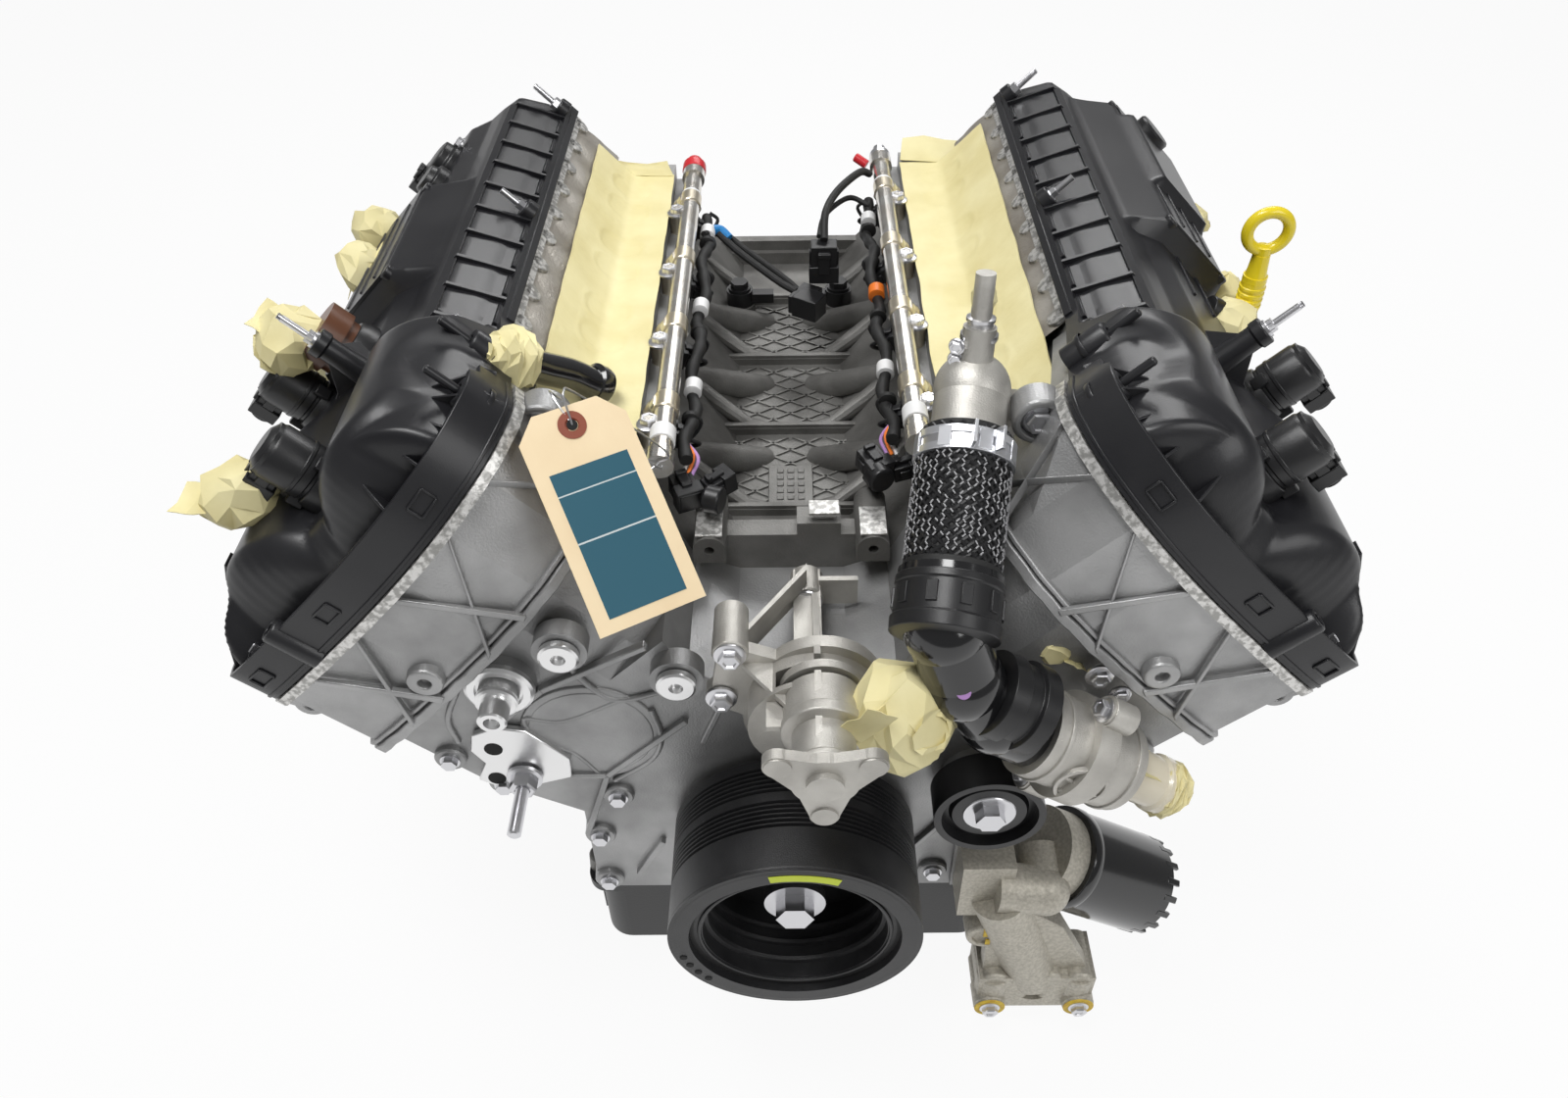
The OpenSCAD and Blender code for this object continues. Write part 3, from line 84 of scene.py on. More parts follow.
def mat(name, color, rough, metal=0.0, coat=0.0, spec=0.5, blotch=None, bump=None, slot=None):
    """Finish: blotch mixes two shades in a slow pattern (scale, dark, light, from, to), bump is a fine
    grain (scale, strength, height), and slot is a name for it, kept in SLOTS."""
    m = bpy.data.materials.new(name)
    m.use_nodes = True
    t = m.node_tree
    b = t.nodes["Principled BSDF"]
    for key, value in (("Base Color", (*color, 1.0)), ("Roughness", rough), ("Metallic", metal), ("Coat Weight", coat),
                       ("Coat Roughness", 0.15), ("Specular IOR Level", spec)):
        b.inputs[key].default_value = value
    if blotch:
        scale, dark, light, lo, hi = (*blotch, 0.35, 0.65)[:5]
        r = t.nodes.new("ShaderNodeValToRGB")
        for e, shade, place in zip(r.color_ramp.elements, (dark, light), (lo, hi)):
            e.position, e.color = place, (*shade, 1.0)
        t.links.new(noise_node(t, scale, 4.0), r.inputs["Fac"])
        t.links.new(r.outputs["Color"], b.inputs["Base Color"])
    if bump:
        scale, strength, height = (*bump, 0.0006)[:3]
        n = t.nodes.new("ShaderNodeBump")
        n.inputs["Strength"].default_value = strength
        n.inputs["Distance"].default_value = height
        t.links.new(noise_node(t, scale, 3.0), n.inputs["Height"])
        t.links.new(n.outputs["Normal"], b.inputs["Normal"])
    SLOTS[m] = slot
    return m


CAST = mat("cast_aluminium", (0.34, 0.34, 0.335), 0.48, 0.62, bump=(900, 0.55), slot="cast_aluminium",
           blotch=(22, (0.24, 0.24, 0.235), (0.40, 0.40, 0.395)))
CAST_DARK = mat("valley_aluminium", (0.2, 0.198, 0.19), 0.5, 0.5, bump=(700, 0.6), slot="cast_aluminium",
                blotch=(25, (0.125, 0.122, 0.115), (0.23, 0.226, 0.215)))
CASE = mat("case_aluminium", (0.36, 0.36, 0.36), 0.42, 0.66, bump=(700, 0.45), slot="cast_aluminium",
           blotch=(16, (0.27, 0.27, 0.27), (0.44, 0.44, 0.44)))
PUMP = mat("pump_aluminium", (0.5, 0.485, 0.45), 0.42, 0.65, bump=(1100, 0.5), slot="cast_aluminium",
           blotch=(30, (0.42, 0.405, 0.375), (0.58, 0.565, 0.525)))
SHIELD = mat("shield_alloy", (0.36, 0.335, 0.30), 0.42, 0.5, bump=(520, 0.5, 0.0007), slot="cast_aluminium",
             blotch=(30, (0.29, 0.265, 0.23), (0.44, 0.415, 0.375)))
FOOT = mat("sand_cast", (0.5, 0.47, 0.40), 0.5, 0.45, bump=(620, 0.6), slot="cast_aluminium",
           blotch=(420, (0.43, 0.405, 0.345), (0.565, 0.535, 0.465), 0.36, 0.64))
SPECKLE = mat("speckled_alloy", (0.6, 0.59, 0.57), 0.4, 0.7, bump=(600, 0.5), slot="machined_aluminium",
              blotch=(260, (0.36, 0.355, 0.34), (0.72, 0.71, 0.69), 0.42, 0.58))
MACHINED = mat("machined_aluminium", (0.80, 0.80, 0.80), 0.28, 0.95, bump=(300, 0.08), slot="cast_aluminium")
STEEL = mat("forged_steel", (0.42, 0.42, 0.43), 0.36, 0.9, bump=(500, 0.1))
ZINC = mat("plated_steel", (0.66, 0.66, 0.68), 0.28, 0.95, slot="plated_steel")
BRIGHT = mat("bright_plating", (0.74, 0.75, 0.78), 0.3, 0.85, slot="plated_steel")
STAINLESS = mat("stainless_tube", (0.72, 0.70, 0.66), 0.24, 0.95, bump=(400, 0.05),
                blotch=(60, (0.64, 0.60, 0.54), (0.78, 0.77, 0.74)))
BRAZED = mat("brazed_cup", (0.66, 0.60, 0.48), 0.32, 0.9, slot="stainless")
COVER = mat("cover_plastic", (0.012, 0.012, 0.014), 0.36, 0.0, 0.1, 0.42, bump=(1300, 0.16, 0.0004),
            blotch=(14, (0.009, 0.009, 0.011), (0.018, 0.018, 0.020)), slot="cover_plastic")
BLACK = mat("connector_plastic", (0.012, 0.012, 0.013), 0.36, bump=(900, 0.1))
GLOSS = mat("gloss_black", (0.008, 0.008, 0.009), 0.12, 0.0, 0.5)
PAN = mat("pan_paint", (0.012, 0.012, 0.013), 0.4, bump=(500, 0.2), slot="pan_paint")
DAMPER = mat("damper_paint", (0.012, 0.012, 0.013), 0.42, bump=(1500, 0.35), slot="damper_paint",
             blotch=(40, (0.009, 0.009, 0.010), (0.017, 0.017, 0.018)))
RUBBER = mat("rubber", (0.012, 0.012, 0.012), 0.62, bump=(800, 0.2))
BRAID = mat("braid_strand", (0.013, 0.013, 0.014), 0.32, slot="hose_rubber")
FLECK = mat("braid_fleck", (0.36, 0.36, 0.37), 0.45)
TAPE = mat("masking_tape", (0.76, 0.68, 0.36), 0.6, 0.0, 0.0, 0.35, bump=(240, 0.3), slot="masking_tape",
           blotch=(26, (0.72, 0.64, 0.33), (0.80, 0.73, 0.42)))
CARD = mat("tag_card", (0.83, 0.66, 0.42), 0.7, bump=(500, 0.1), slot="tag_card",
           blotch=(20, (0.80, 0.63, 0.40), (0.86, 0.70, 0.46)))
TEAL = mat("label_teal", (0.006, 0.085, 0.13), 0.5)
PALE_INK = mat("label_line", (0.55, 0.60, 0.60), 0.5)
EYELET = mat("eyelet", (0.25, 0.06, 0.03), 0.5)
YELLOW = mat("yellow_plastic", (0.86, 0.68, 0.02), 0.25, 0.0, 0.3, slot="yellow_plastic")
LABEL_YELLOW = mat("label_yellow", (0.66, 0.78, 0.03), 0.4)
PAINT_YELLOW = mat("paint_mark", (0.75, 0.5, 0.02), 0.5, blotch=(200, (0.62, 0.38, 0.02), (0.85, 0.62, 0.05)))
BROWN = mat("brown_plastic", (0.12, 0.045, 0.02), 0.35, bump=(700, 0.1))
RED = mat("red_cap", (0.6, 0.02, 0.03), 0.35)
WHITE = mat("white_sleeve", (0.80, 0.80, 0.80), 0.45)
ORANGE = mat("orange_sleeve", (0.85, 0.20, 0.02), 0.45)
BLUE = mat("blue_tape", (0.02, 0.22, 0.55), 0.45)
PURPLE = mat("purple_dot", (0.45, 0.25, 0.55), 0.5)
GASKET = mat("gasket_steel", (0.10, 0.10, 0.11), 0.5, 0.4)
GUIDE = mat("guide_plastic", (0.35, 0.24, 0.12), 0.45)
CLEAR_STUB = mat("stub_plastic", (0.72, 0.66, 0.52), 0.2, 0.0, 0.4)
# Near-black for flat discs drawn over holes instead of real openings: painted shade
HOLE_SHADE = mat("painted_hole_shade", (0.004, 0.004, 0.004), 0.8)

NODE_MATS = {
    CAST_DARK: "engine_block", PAN: "oil_pan", BROWN: "oil_filler_neck", TAPE: "port_tapes", CARD: "hang_tag",
    CAST: "main_bearing_caps bank1_cylinder_head bank2_cylinder_head cam_caps oil_pump", MACHINED: "rear_seal_plate",
    STEEL: "crankshaft connecting_rods crank_sprocket primary_chains secondary_chains", GASKET: "head_gaskets",
    GUIDE: "chain_guides", CASE: "front_cover", COVER: "bank1_cam_cover bank2_cam_cover", FOOT: "oil_filter_adapter",
    DAMPER: "damper_hub damper_ring", RUBBER: "damper_rubber coolant_hose", STAINLESS: "fuel_rails",
    ZINC: "crank_bolt idler_bolt hose_clamp dipstick_tube cover_fasteners case_bolts", YELLOW: "dipstick",
    PUMP: "water_pump_body water_pump_hub thermostat_housing coolant_neck", GLOSS: "coolant_elbow oil_filter",
    BLACK: "idler_pulley injectors knock_sensors vct_solenoids",
}
for name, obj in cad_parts.items():
    inner = STEEL if "cam" in name or "phaser" in name else MACHINED
    obj.data.materials.clear()
    obj.data.materials.append(next((m for m, names in NODE_MATS.items() if name in names.split()), inner))


# ---------------------------------------------------------------- mesh tools
def frame_of(axis):
    z = Vector(axis).normalized()
    x = (TOP if abs(z.z) < 0.9 else V(1, 0, 0)).cross(z).normalized()
    return x, z.cross(x), z


def polar(x, y, a):
    return x * cos(a) + y * sin(a)


def grid_faces(rows, cols, flip=False):
    """Quads of a grid of rows by cols cells."""
    m = cols + 1
    quads = [(q, q + 1, q + m + 1, q + m) for j in range(rows) for q in range(j * m, j * m + cols)]
    return [f[::-1] for f in quads] if flip else quads


def rim(rows, cols):
    """Indices round the edge of such a grid."""
    m = cols + 1
    edge = list(range(m)) + [j * m + cols for j in range(1, rows + 1)]
    return edge + [rows * m + i for i in range(cols - 1, -1, -1)] + [j * m for j in range(rows - 1, 0, -1)]


class Shape:
    """Collects faces in millimetres and makes one object from them."""

    def __init__(self):
        self.v, self.f = [], []

    def add(self, verts, faces):
        k = len(self.v)
        self.v += [Vector(p) for p in verts]
        self.f += [tuple(i + k for i in face) for face in faces]

    def rings(self, rings, caps=True):
        """Skin over closed rings of equal count."""
        m = len(rings[0])
        last = (len(rings) - 1) * m
        faces = [(k + i, k + (i + 1) % m, k + m + (i + 1) % m, k + m + i) for k in range(0, last, m) for i in range(m)]
        if caps:
            faces += [tuple(range(m))[::-1], tuple(range(last, last + m))]
        self.add([p for r in rings for p in r], faces)

    def lathe(self, p, axis, profile, sides=24, loop=False):
        """Turned solid: profile is (distance along axis, radius) pairs; loop joins its ends into a ring."""
        x, y, z = frame_of(axis)
        out = [[Vector(p) + z * t + polar(x, y, 2 * pi * i / sides) * max(r, 0.01) for i in range(sides)]
               for t, r in profile]
        self.rings(out + out[:1] if loop else out, not loop)

    def tube(self, pts, r, sides=10):
        """Round tube through points; r is one radius or one for each point."""
        pts = [Vector(p) for p in pts]
        rr = r if isinstance(r, list) else [r] * len(pts)
        x = frame_of(pts[1] - pts[0])[0]
        out = []
        for i, p in enumerate(pts):
            d = (pts[min(i + 1, len(pts) - 1)] - pts[max(i - 1, 0)]).normalized()
            x = (x - d * x.dot(d)).normalized()
            out.append([p + polar(x, d.cross(x), 2 * pi * k / sides) * rr[i] for k in range(sides)])
        self.rings(out)

    def box(self, c, x, y, z):
        """Block with centre c and half axes x, y, z."""
        c, x, y, z = Vector(c), Vector(x), Vector(y), Vector(z)
        f = [(0, 2, 3, 1), (4, 5, 7, 6), (0, 1, 5, 4), (2, 6, 7, 3), (0, 4, 6, 2), (1, 3, 7, 5)]
        if x.cross(y).dot(z) <= 0:
            f = [q[::-1] for q in f]
        self.add([c + x * i + y * j + z * k for k in (-1, 1) for j in (-1, 1) for i in (-1, 1)], f)

    def block(self, c, x, y, z):
        self.box(c, (x, 0, 0), (0, y, 0), (0, 0, z))

    def prism(self, outline, depth):
        """Outline of points swept by the vector depth."""
        a = [Vector(p) for p in outline]
        self.rings([a, [p + Vector(depth) for p in a]])

    def bolt(self, p, axis, r=5.5, h=5.5, flange=1.35, stud=0):
        """Hexagon flange bolt whose seat is at p, with a threaded end of length stud."""
        axis = Vector(axis).normalized()
        p = Vector(p)
        self.lathe(p - axis * 0.3, axis, [(0, r * flange), (0.25 * r, r * flange), (0.38 * r, r * 1.1)], 20)
        self.lathe(p, axis, [(0.3 * r, r), (h - 0.12 * r, r), (h, r * 0.86), (h, r * 0.6), (h - 0.15 * r, r * 0.5)], 6)
        if stud:
            prof = [(h - 1, r * 0.5)]
            t = h
            while t < stud:
                prof += [(t, r * 0.5), (t + 0.5, r * 0.43), (t + 1.0, r * 0.5)]
                t += 1.0
            self.lathe(p, axis, prof + [(stud + 1.0, r * 0.35)], 14)

    def make(self, name, mat, body="engine", smooth=30.0, bevel=0.0, slot=""):
        me = bpy.data.meshes.new(name)
        me.from_pydata([tuple(p * MM) for p in self.v], [], self.f)
        me.validate()
        bm = bmesh.new()
        bm.from_mesh(me)
        bmesh.ops.recalc_face_normals(bm, faces=bm.faces)
        bm.to_mesh(me)
        bm.free()
        me.materials.append(mat)
        o = bpy.data.objects.new(name, me)
        bpy.context.scene.collection.objects.link(o)
        if smooth > 0:
            me.shade_smooth()
            me.set_sharp_from_angle(angle=radians(smooth))
        if bevel > 0:
            b = o.modifiers.new("edge", "BEVEL")
            b.width, b.segments, b.limit_method, b.angle_limit = bevel * MM, 2, "ANGLE", radians(40)
        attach(o, body)
        slot = SLOTS[mat] if slot == "" else slot
        return o


def shapes(count):
    return [Shape() for _ in range(count)]


def spline(pts, n=8):
    """Smooth points through pts."""
    p = [Vector(q) for q in pts]
    p = [p[0] * 2 - p[1]] + p + [p[-1] * 2 - p[-2]]
    out = []
    for a, b, c, d in zip(p, p[1:], p[2:], p[3:]):
        for t in (k / n for k in range(n)):
            out.append(0.5 * ((2 * b) + (c - a) * t + (2 * a - 5 * b + 4 * c - d) * t * t
                              + (3 * b - a - 3 * c + d) * t * t * t))
    return out + [p[-2]]


def ease(t):
    t = min(1.0, max(0.0, t))
    return t * t * (3 - 2 * t)


def interp(table, x):
    if x <= table[0][0]:
        return table[0][1]
    for (xa, ya), (xb, yb) in zip(table, table[1:]):
        if x <= xb:
            return ya + (yb - ya) * (x - xa) / max(xb - xa, 1e-6)
    return table[-1][1]


def crumple(shape, c, r, axis, seed, squash=(1.0, 1.0, 1.0), pinch=0.0, seg=7):
    """Tape wrapped round an end: flat facets, and a pinched fin at its tip."""
    x, y, z = frame_of(axis)
    g = random.Random(int(seed * 10))
    turn = g.uniform(0, pi)
    x, y = polar(x, y, turn), y * cos(turn) - x * sin(turn)
    m = 11
    verts = []
    for i in range(seg + 1):
        t = i / seg
        th = pi * (0.06 + 0.94 * t)
        rad = max(sin(th), 0.30 if i < seg else 0.0)
        flat = 1.0 if t < 0.55 else max(0.12, 1.0 - 2.3 * (t - 0.55))
        wide = 1.0 if t < 0.55 else 1.0 + 1.3 * (t - 0.55)
        for k in range(m):
            ph = 2 * pi * (k + 0.5 * (i % 2) + g.uniform(-0.28, 0.28)) / m
            j = 1.0 + g.uniform(-0.13, 0.13)
            rr = r * rad * j if i < seg else r * 0.42
            px = cos(ph) * rr * (flat + (1 - flat) * (1 - pinch))
            py = sin(ph) * rr * (1 + (wide - 1) * pinch)
            pz = r * (-cos(th) * (1.0 + 0.35 * pinch * t) + g.uniform(-0.10, 0.10))
            verts.append(Vector(c) + x * px * squash[0] + y * py * squash[1] + z * pz * squash[2])
    # Each quad is split, so that the folds read as facets
    faces = []
    for i in range(seg):
        for k in range(m):
            a, b = i * m + k, i * m + (k + 1) % m
            e, d = a + m, b + m
            faces += [(a, b, d), (a, d, e)] if (i + k) % 2 else [(a, b, e), (b, d, e)]
    shape.add(verts, faces + [tuple(range(m))[::-1], tuple(range(seg * m, seg * m + m))])


def flap(shape, c, along, across, length, width, seed, curl=0.35):
    """Loose tail of tape: a strip with a few straight folds and a cut or torn end."""
    c, a, b = Vector(c), Vector(along).normalized(), Vector(across).normalized()
    n = a.cross(b).normalized()
    g = random.Random(int(seed * 7))
    folds = [g.uniform(-0.5, 0.5) for _ in range(5)]
    nu, nv = 5, 3
    top = []
    for i in range(nu + 1):
        for j in range(nv + 1):
            s, t = i / nu, j / nv - 0.5
            z = curl * length * s * s * 0.5 + folds[min(i, 4)] * 3.0 * s
            z += (0.10 * width * abs(t + 0.5 * folds[2]) + g.uniform(-0.5, 0.5)) * (0.3 + s)
            tear = g.uniform(-1.5, 1.5) if i == nu else 0.0
            top.append(c + a * (length * s + tear + width * 0.25 * t * folds[1])
                       + b * width * (1.0 - 0.18 * s * (1 + folds[3])) * t + n * z)
    m = len(top)
    faces = []
    for p, q, r, s in grid_faces(nu, nv):
        faces += [(p, q, r), (p, r, s), (m + p, m + r, m + q), (m + p, m + s, m + r)]
    edge = rim(nu, nv)
    faces += [(q, p, m + p, m + q) for p, q in zip(edge, edge[1:] + edge[:1])]
    shape.add(top + [p - n * 0.5 for p in top], faces)


# ---------------------------------------------------------------- valley
def valley():
    lattice, plate, ribs = shapes(3)
    # Raised diamond lattice on the floor between the cross ribs
    half, step, slope = 52.0, 17.0, 0.62
    for y0, y1 in ((-463.0, -408.0), (-390.0, -308.0), (-290.0, -208.0), (-190.0, -108.0)):
        k = -int((half * 2 + y1 - y0) / step) - 1
        while k * step < half * 2 + (y1 - y0):
            yk = y0 + k * step
            t0, t1 = max(0.0, (y0 - yk) / slope), min(half * 2, (y1 - yk) / slope)
            if t1 - t0 > 4:
                for d in (1, -1):
                    a, b = (V(d * (t - half), yk + slope * t, VALLEY_Z) for t in (t0, t1))
                    v = (b - a) / 2
                    lattice.box((a + b) / 2, v, V(-v.y, v.x, 0).normalized() * 0.9, (0, 0, 1.3))
            k += 1
    lattice.make("valley_lattice", CAST_DARK)
    # Blank raised plate
    plate.block((0, -372, VALLEY_Z + 2.2), 17, 23, 2.4)
    for dx in (-8, 0, 8):
        for k in range(5):
            plate.block((dx, -388 + k * 8, VALLEY_Z + 4.9), 2.6, 2.2, 0.6)
    plate.make("valley_plate", CAST_DARK, bevel=0.5)
    bars = (-400.0, -300.0, -200.0, -100.0)
    for y in bars:
        ribs.block((0, y, VALLEY_Z + 7.4), 66, 2.2, 1.6)
    for sx in (-1, 1):
        for y in bars:
            ribs.tube([(sx * x, y + dy, z) for x, dy, z in ((92, 34, 176), (60, 18, 156), (34, 6, 142), (10, 3, 140))],
                      [7, 7, 6, 3], 12)
    ribs.make("valley_ribs", CAST_DARK)


# ---------------------------------------------------------------- rails
def rails():
    cups, bolts, bands, red = shapes(4)
    tilt = radians(35)
    z = PORT_Z + 1
    for n in (1, 2):
        sx = sgn(n)
        x, y0, y1 = sx * FUEL_X, cyl_y(n, 0) - 62, cyl_y(n, 3) + 52
        d = V(sx * sin(tilt), 0, -cos(tilt))
        for i in range(4):
            p = V(x, cyl_y(n, i), z)
            cups.lathe(p + d * 3, d, [(0, 10), (3, 11.6), (9, 11.6), (12, 11.2)])
            cups.lathe(p, BACK, [(-9, 8.5), (-8, 9.2), (8, 9.2), (9, 8.5)])
            bolts.bolt((sx * 95, p.y - 22, PORT_Z + 2), TOP, 6.2, 6.5, 1.4)
            cups.lathe((sx * 95, p.y - 22, PORT_Z - 14), TOP, [(0, 7.4), (15, 7.4), (16, 8.6)], 20)
        bands.lathe((x, y0 + 20, z), BACK, [(0, 8.2), (0.2, 8.9), (13.8, 8.9), (14, 8.2)])
        bands.lathe((x, y1 - 60, z), BACK, [(0, 8.2), (0.2, 8.7), (20, 8.7), (20.2, 8.2)])
        if n == 1:
            red.lathe((x, y1 + 6, z), (0, 1, 0.2), [(0, 10.4), (2, 10.8), (10, 10.4), (14, 7.4), (17, 6.8), (19, 5.0)],
                      20)
        else:
            red.lathe((sx * 72, y1 - 6, z + 2), (-0.6, 0.3, 0.3), [(0, 4.2), (12, 4.2), (13, 3.4)], 16)
            bolts.lathe((x, y1 + 6, z), (0, 1, 0.15), [(0, 9.6), (8, 9.6), (9, 6), (18, 6), (19, 4.6)], 20)
    cups.make("rail_cups", BRAZED)
    bands.make("rail_labels", WHITE, slot="stainless")
    bolts.make("rail_bolts", ZINC)
    red.make("rail_caps", RED)


# ---------------------------------------------------------------- wiring
def connector(s, p, axis, up, size):
    """Rectangular plug with a latch; p is its rear end and axis points to its mouth."""
    a = Vector(axis).normalized()
    u = (Vector(up) - a * Vector(up).dot(a)).normalized()
    b = a.cross(u)
    p, (w, h, l) = Vector(p), size
    for t, rise, x, y, z in ((l, 0, l, w, h), (l * 1.5, 0, l * 0.45, w + 1.6, h + 1.6),
                             (l * 0.8, h + 1.6, l * 0.6, w * 0.45, 1.6), (l * 0.35, h + 2.6, 2, w * 0.5, 2.2)):
        s.box(p + a * t + u * rise, a * x, b * y, u * z)
    for k in (-1, 1):
        s.box(p + a * l * 0.7 + b * k * (w + 0.6), a * l * 0.35, b * 0.9, u * h * 0.5)


def wiring():
    loom, plugs, thin, whites, oranges, blue, violet_lead, orange_lead, white_lead = shapes(9)
    for n in (1, 2):
        sx = sgn(n)
        ys = [cyl_y(n, i) for i in range(4)]
        pts = [(sx * (70 + 3.0 * sin(k * 1.7)), ys[0] - 40 + 22 * k, 226 + 4.0 * sin(k * 1.1 + n)) for k in range(17)]
        path = spline(pts, 5)
        loom.tube(path, [4.6 + 0.5 * sin(i * 1.3) for i in range(len(path))], 12)
        for yy in ys:
            for dy, z in ((-14, 214), (16, 211)):
                thin.tube(spline([(sx * 70, yy + dy, 227), (sx * 63, yy + dy * 0.8, 221), (sx * 74, yy + dy * 0.3, z),
                                  (sx * 86, yy, 222)], 5), 1.6, 8)
            # Injector plug under the rail
            connector(plugs, (sx * 72, yy + 2, 216), (sx * 0.6, -0.1, 0.25), (-sx * 0.3, 0, 1), (7, 6, 8))
        for yy, s in ((ys[0] + 42, whites), (ys[1] + 52, oranges if n == 2 else whites), (ys[3] - 26, whites)):
            s.lathe((sx * 70.5, yy, 226), (0.05, 1, 0.08), [(0, 6.0), (0.3, 6.6), (11, 6.6), (11.3, 6.0)], 20)
        for yy in (ys[0] + 8, ys[1] + 20, ys[2] + 4, ys[2] + 60):
            loom.lathe((sx * 70, yy, 226), BACK, [(0, 5.6), (0.5, 6.6), (4, 6.6), (4.5, 5.6)], 16)
        # Front plugs with their loose wires, lying over the valley
        y0 = ys[0] - 34
        first, second, cap = ((((-76, -6, 213), (0.45, -1, -0.10)), ((-58, -12, 208), (0.8, 0.6, 0.1)),
                               ((-58, -24, 212), (0.9, -0.35, 0.0))) if n == 1 else
                              (((52, -2, 214), (0.55, -1, -0.10)), ((70, -14, 208), (0.8, 0.2, 0.1)),
                               ((58, -18, 212), (0.4, -1, 0.0))))
        for (p, axis), size in ((first, (8, 7, 12)), (second, (6, 6, 11))):
            connector(plugs, (p[0], y0 + p[1], p[2]), axis, TOP, size)
        p, axis = cap
        plugs.lathe((p[0], y0 + p[1], p[2]), axis, [(0, 7), (2, 9.5), (12, 9.5), (13, 8)], 20)
        for o, lead in ((-3.2, violet_lead), (0.0, orange_lead), (3.2, white_lead)):
            lead.tube(spline([(sx * 70, y0 + 16, 226), (sx * (66 + o), y0 + 4, 224 + o * 0.4),
                              (sx * (70 + o), y0 - 8, 218)], 5), 1.3, 8)
    # Sensor lead of bank 1 with its taped joint, the black plug in the valley and the upright one by bank 2
    for s, pts, r, sides in (
            (loom, [(-73, -150, 228), (-66, -124, 226), (-44, -140, 214), (-10, -166, 200), (6, -178, 196)], 3.2, 10),
            (loom, [(-73, -142, 232), (-60, -118, 222), (-36, -132, 210), (-4, -158, 198), (10, -172, 192)], 2.6, 10),
            (blue, [(-68, -127, 227), (-60, -122, 225), (-52, -128, 220)], 4.4, 12),
            (loom, [(74, -60, 246), (64, -70, 252), (44, -100, 250), (32, -140, 250), (30, -166, 238)], 3.4, 10),
            (loom, [(26, -164, 240), (30, -140, 244), (40, -110, 240), (56, -86, 236), (72, -90, 230)], 2.4, 10)):
        s.tube(spline(pts, 6), r, sides)
    plugs.box((14, -182, 190), (8, -5, 0), (7, 12, 0), (0, 0, 8))
    plugs.box((17, -190, 190), (10, -6, 0), (5, 8, 0), (0, 0, 9.5))
    connector(plugs, (30, -168, 236), DOWN, FWD, (11, 8, 17))
    loom.make("harness", RUBBER)
    plugs.make("harness_plugs", BLACK, bevel=0.7)
    for s, name, finish in ((thin, "injector_leads", BLACK), (whites, "white_sleeves", WHITE),
                            (oranges, "orange_sleeve", ORANGE), (blue, "blue_tape", BLUE),
                            (violet_lead, "lead_violet", PURPLE), (orange_lead, "lead_orange", ORANGE),
                            (white_lead, "lead_white", WHITE)):
        s.make(name, finish)


# ---------------------------------------------------------------- port tapes
def port_tape(n):
    """Masking tape over one bank's intake ports: flat over the ports, then bridging to the wall."""
    y0, y1 = cyl_y(n, 0) - 46, cyl_y(n, 3) + 54
    nx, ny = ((34, 150))
    # Section of the sheet: flat on the port face, then up the wall over the shield
    end = 313.0 if n == 1 else 321.0
    line = spline([(102.5, 0, 0), (120, 0, 0), (137, 0, 0.6), (145.5, 0, 6.5), (153, 0, 14.2),
                   ((end - 75.0) * S45, 0, (end + 75.0) * S45 - PORT_Z)], 12)
    run = [0.0]
    for a, b in zip(line, line[1:]):
        run.append(run[-1] + (b - a).length)
    sec = []
    for q in (run[-1] * i / nx for i in range(nx + 1)):
        k = next(k for k in range(1, len(run)) if run[k] >= q - 1e-6)
        c, d = line[k - 1].lerp(line[k], (q - run[k - 1]) / (run[k] - run[k - 1])), (line[k] - line[k - 1]).normalized()
        sec.append((q, c.x, c.z, -d.z, d.x))
    top, bot = [], []
    for j in range(ny + 1):
        y = y0 + (y1 - y0) * j / ny
        for q, px, pz, nx_, nz_ in sec:
            lift = 0.5 + 0.5 * abs(noise.noise(V(q * 0.05, y * 0.02, n * 7.0)))
            for c in range(4):
                for dy in (-19, 19):
                    ex, ey = (q - 37.0) / 21.0, (y - cyl_y(n, c) - dy) / 15.0
                    d = (abs(ex) ** 3.2 + abs(ey) ** 3.2) ** (1 / 3.2)
                    lift += 0.6 * max(0.0, 1 - abs(d - 1) / 0.14) - (0.7 * min(1.0, (1 - d) * 6) if d < 1 else 0.0)
            # Straight creases across the strip
            crease = abs(((y - q * 0.35 * sgn(n)) / 31.0) % 1.0 - 0.5)
            lift += 0.8 * max(0.0, 1 - crease / 0.03) * (0.5 + noise.noise(V(y * 0.01, n, 3.0)))
            lift += 1.6 * max(0.0, noise.noise(V(y * 0.03, q * 0.02, n + 9.0))) * ease((q - 46) / 30.0)
            shift = noise.noise(V(0.0, y * 0.03, n * 5.0))
            up = 0.9 + lift
            top.append(V(sgn(n) * (px + shift + nx_ * up), y, PORT_Z + pz + nz_ * up))
            bot.append(V(sgn(n) * (px + shift + nx_ * 0.1), y, PORT_Z + 0.05 + pz + nz_ * 0.1))
    s = Shape()
    m, edge = len(top), rim(ny, nx)
    faces = []
    for a in grid_faces(ny, nx):
        b = tuple(m + k for k in a[::-1])
        faces += [a, b] if n == 2 else [a[::-1], b[::-1]]
    for p, q in zip(edge, edge[1:] + edge[:1]):
        faces.append((q, p, m + p, m + q) if n == 2 else (p, q, m + q, m + p))
    s.add(top + bot, faces)
    # The rear end stands up where it was torn off
    flap(s, (sgn(n) * 136, y1 - 2, PORT_Z + 2.0), (0, 0.75, 0.45), (sgn(n), 0, 0), 30 if n == 2 else 12, 66,
         n + 2.0, 0.4)
    return s.make("port_tape_bank%d" % n, TAPE, smooth=50.0)


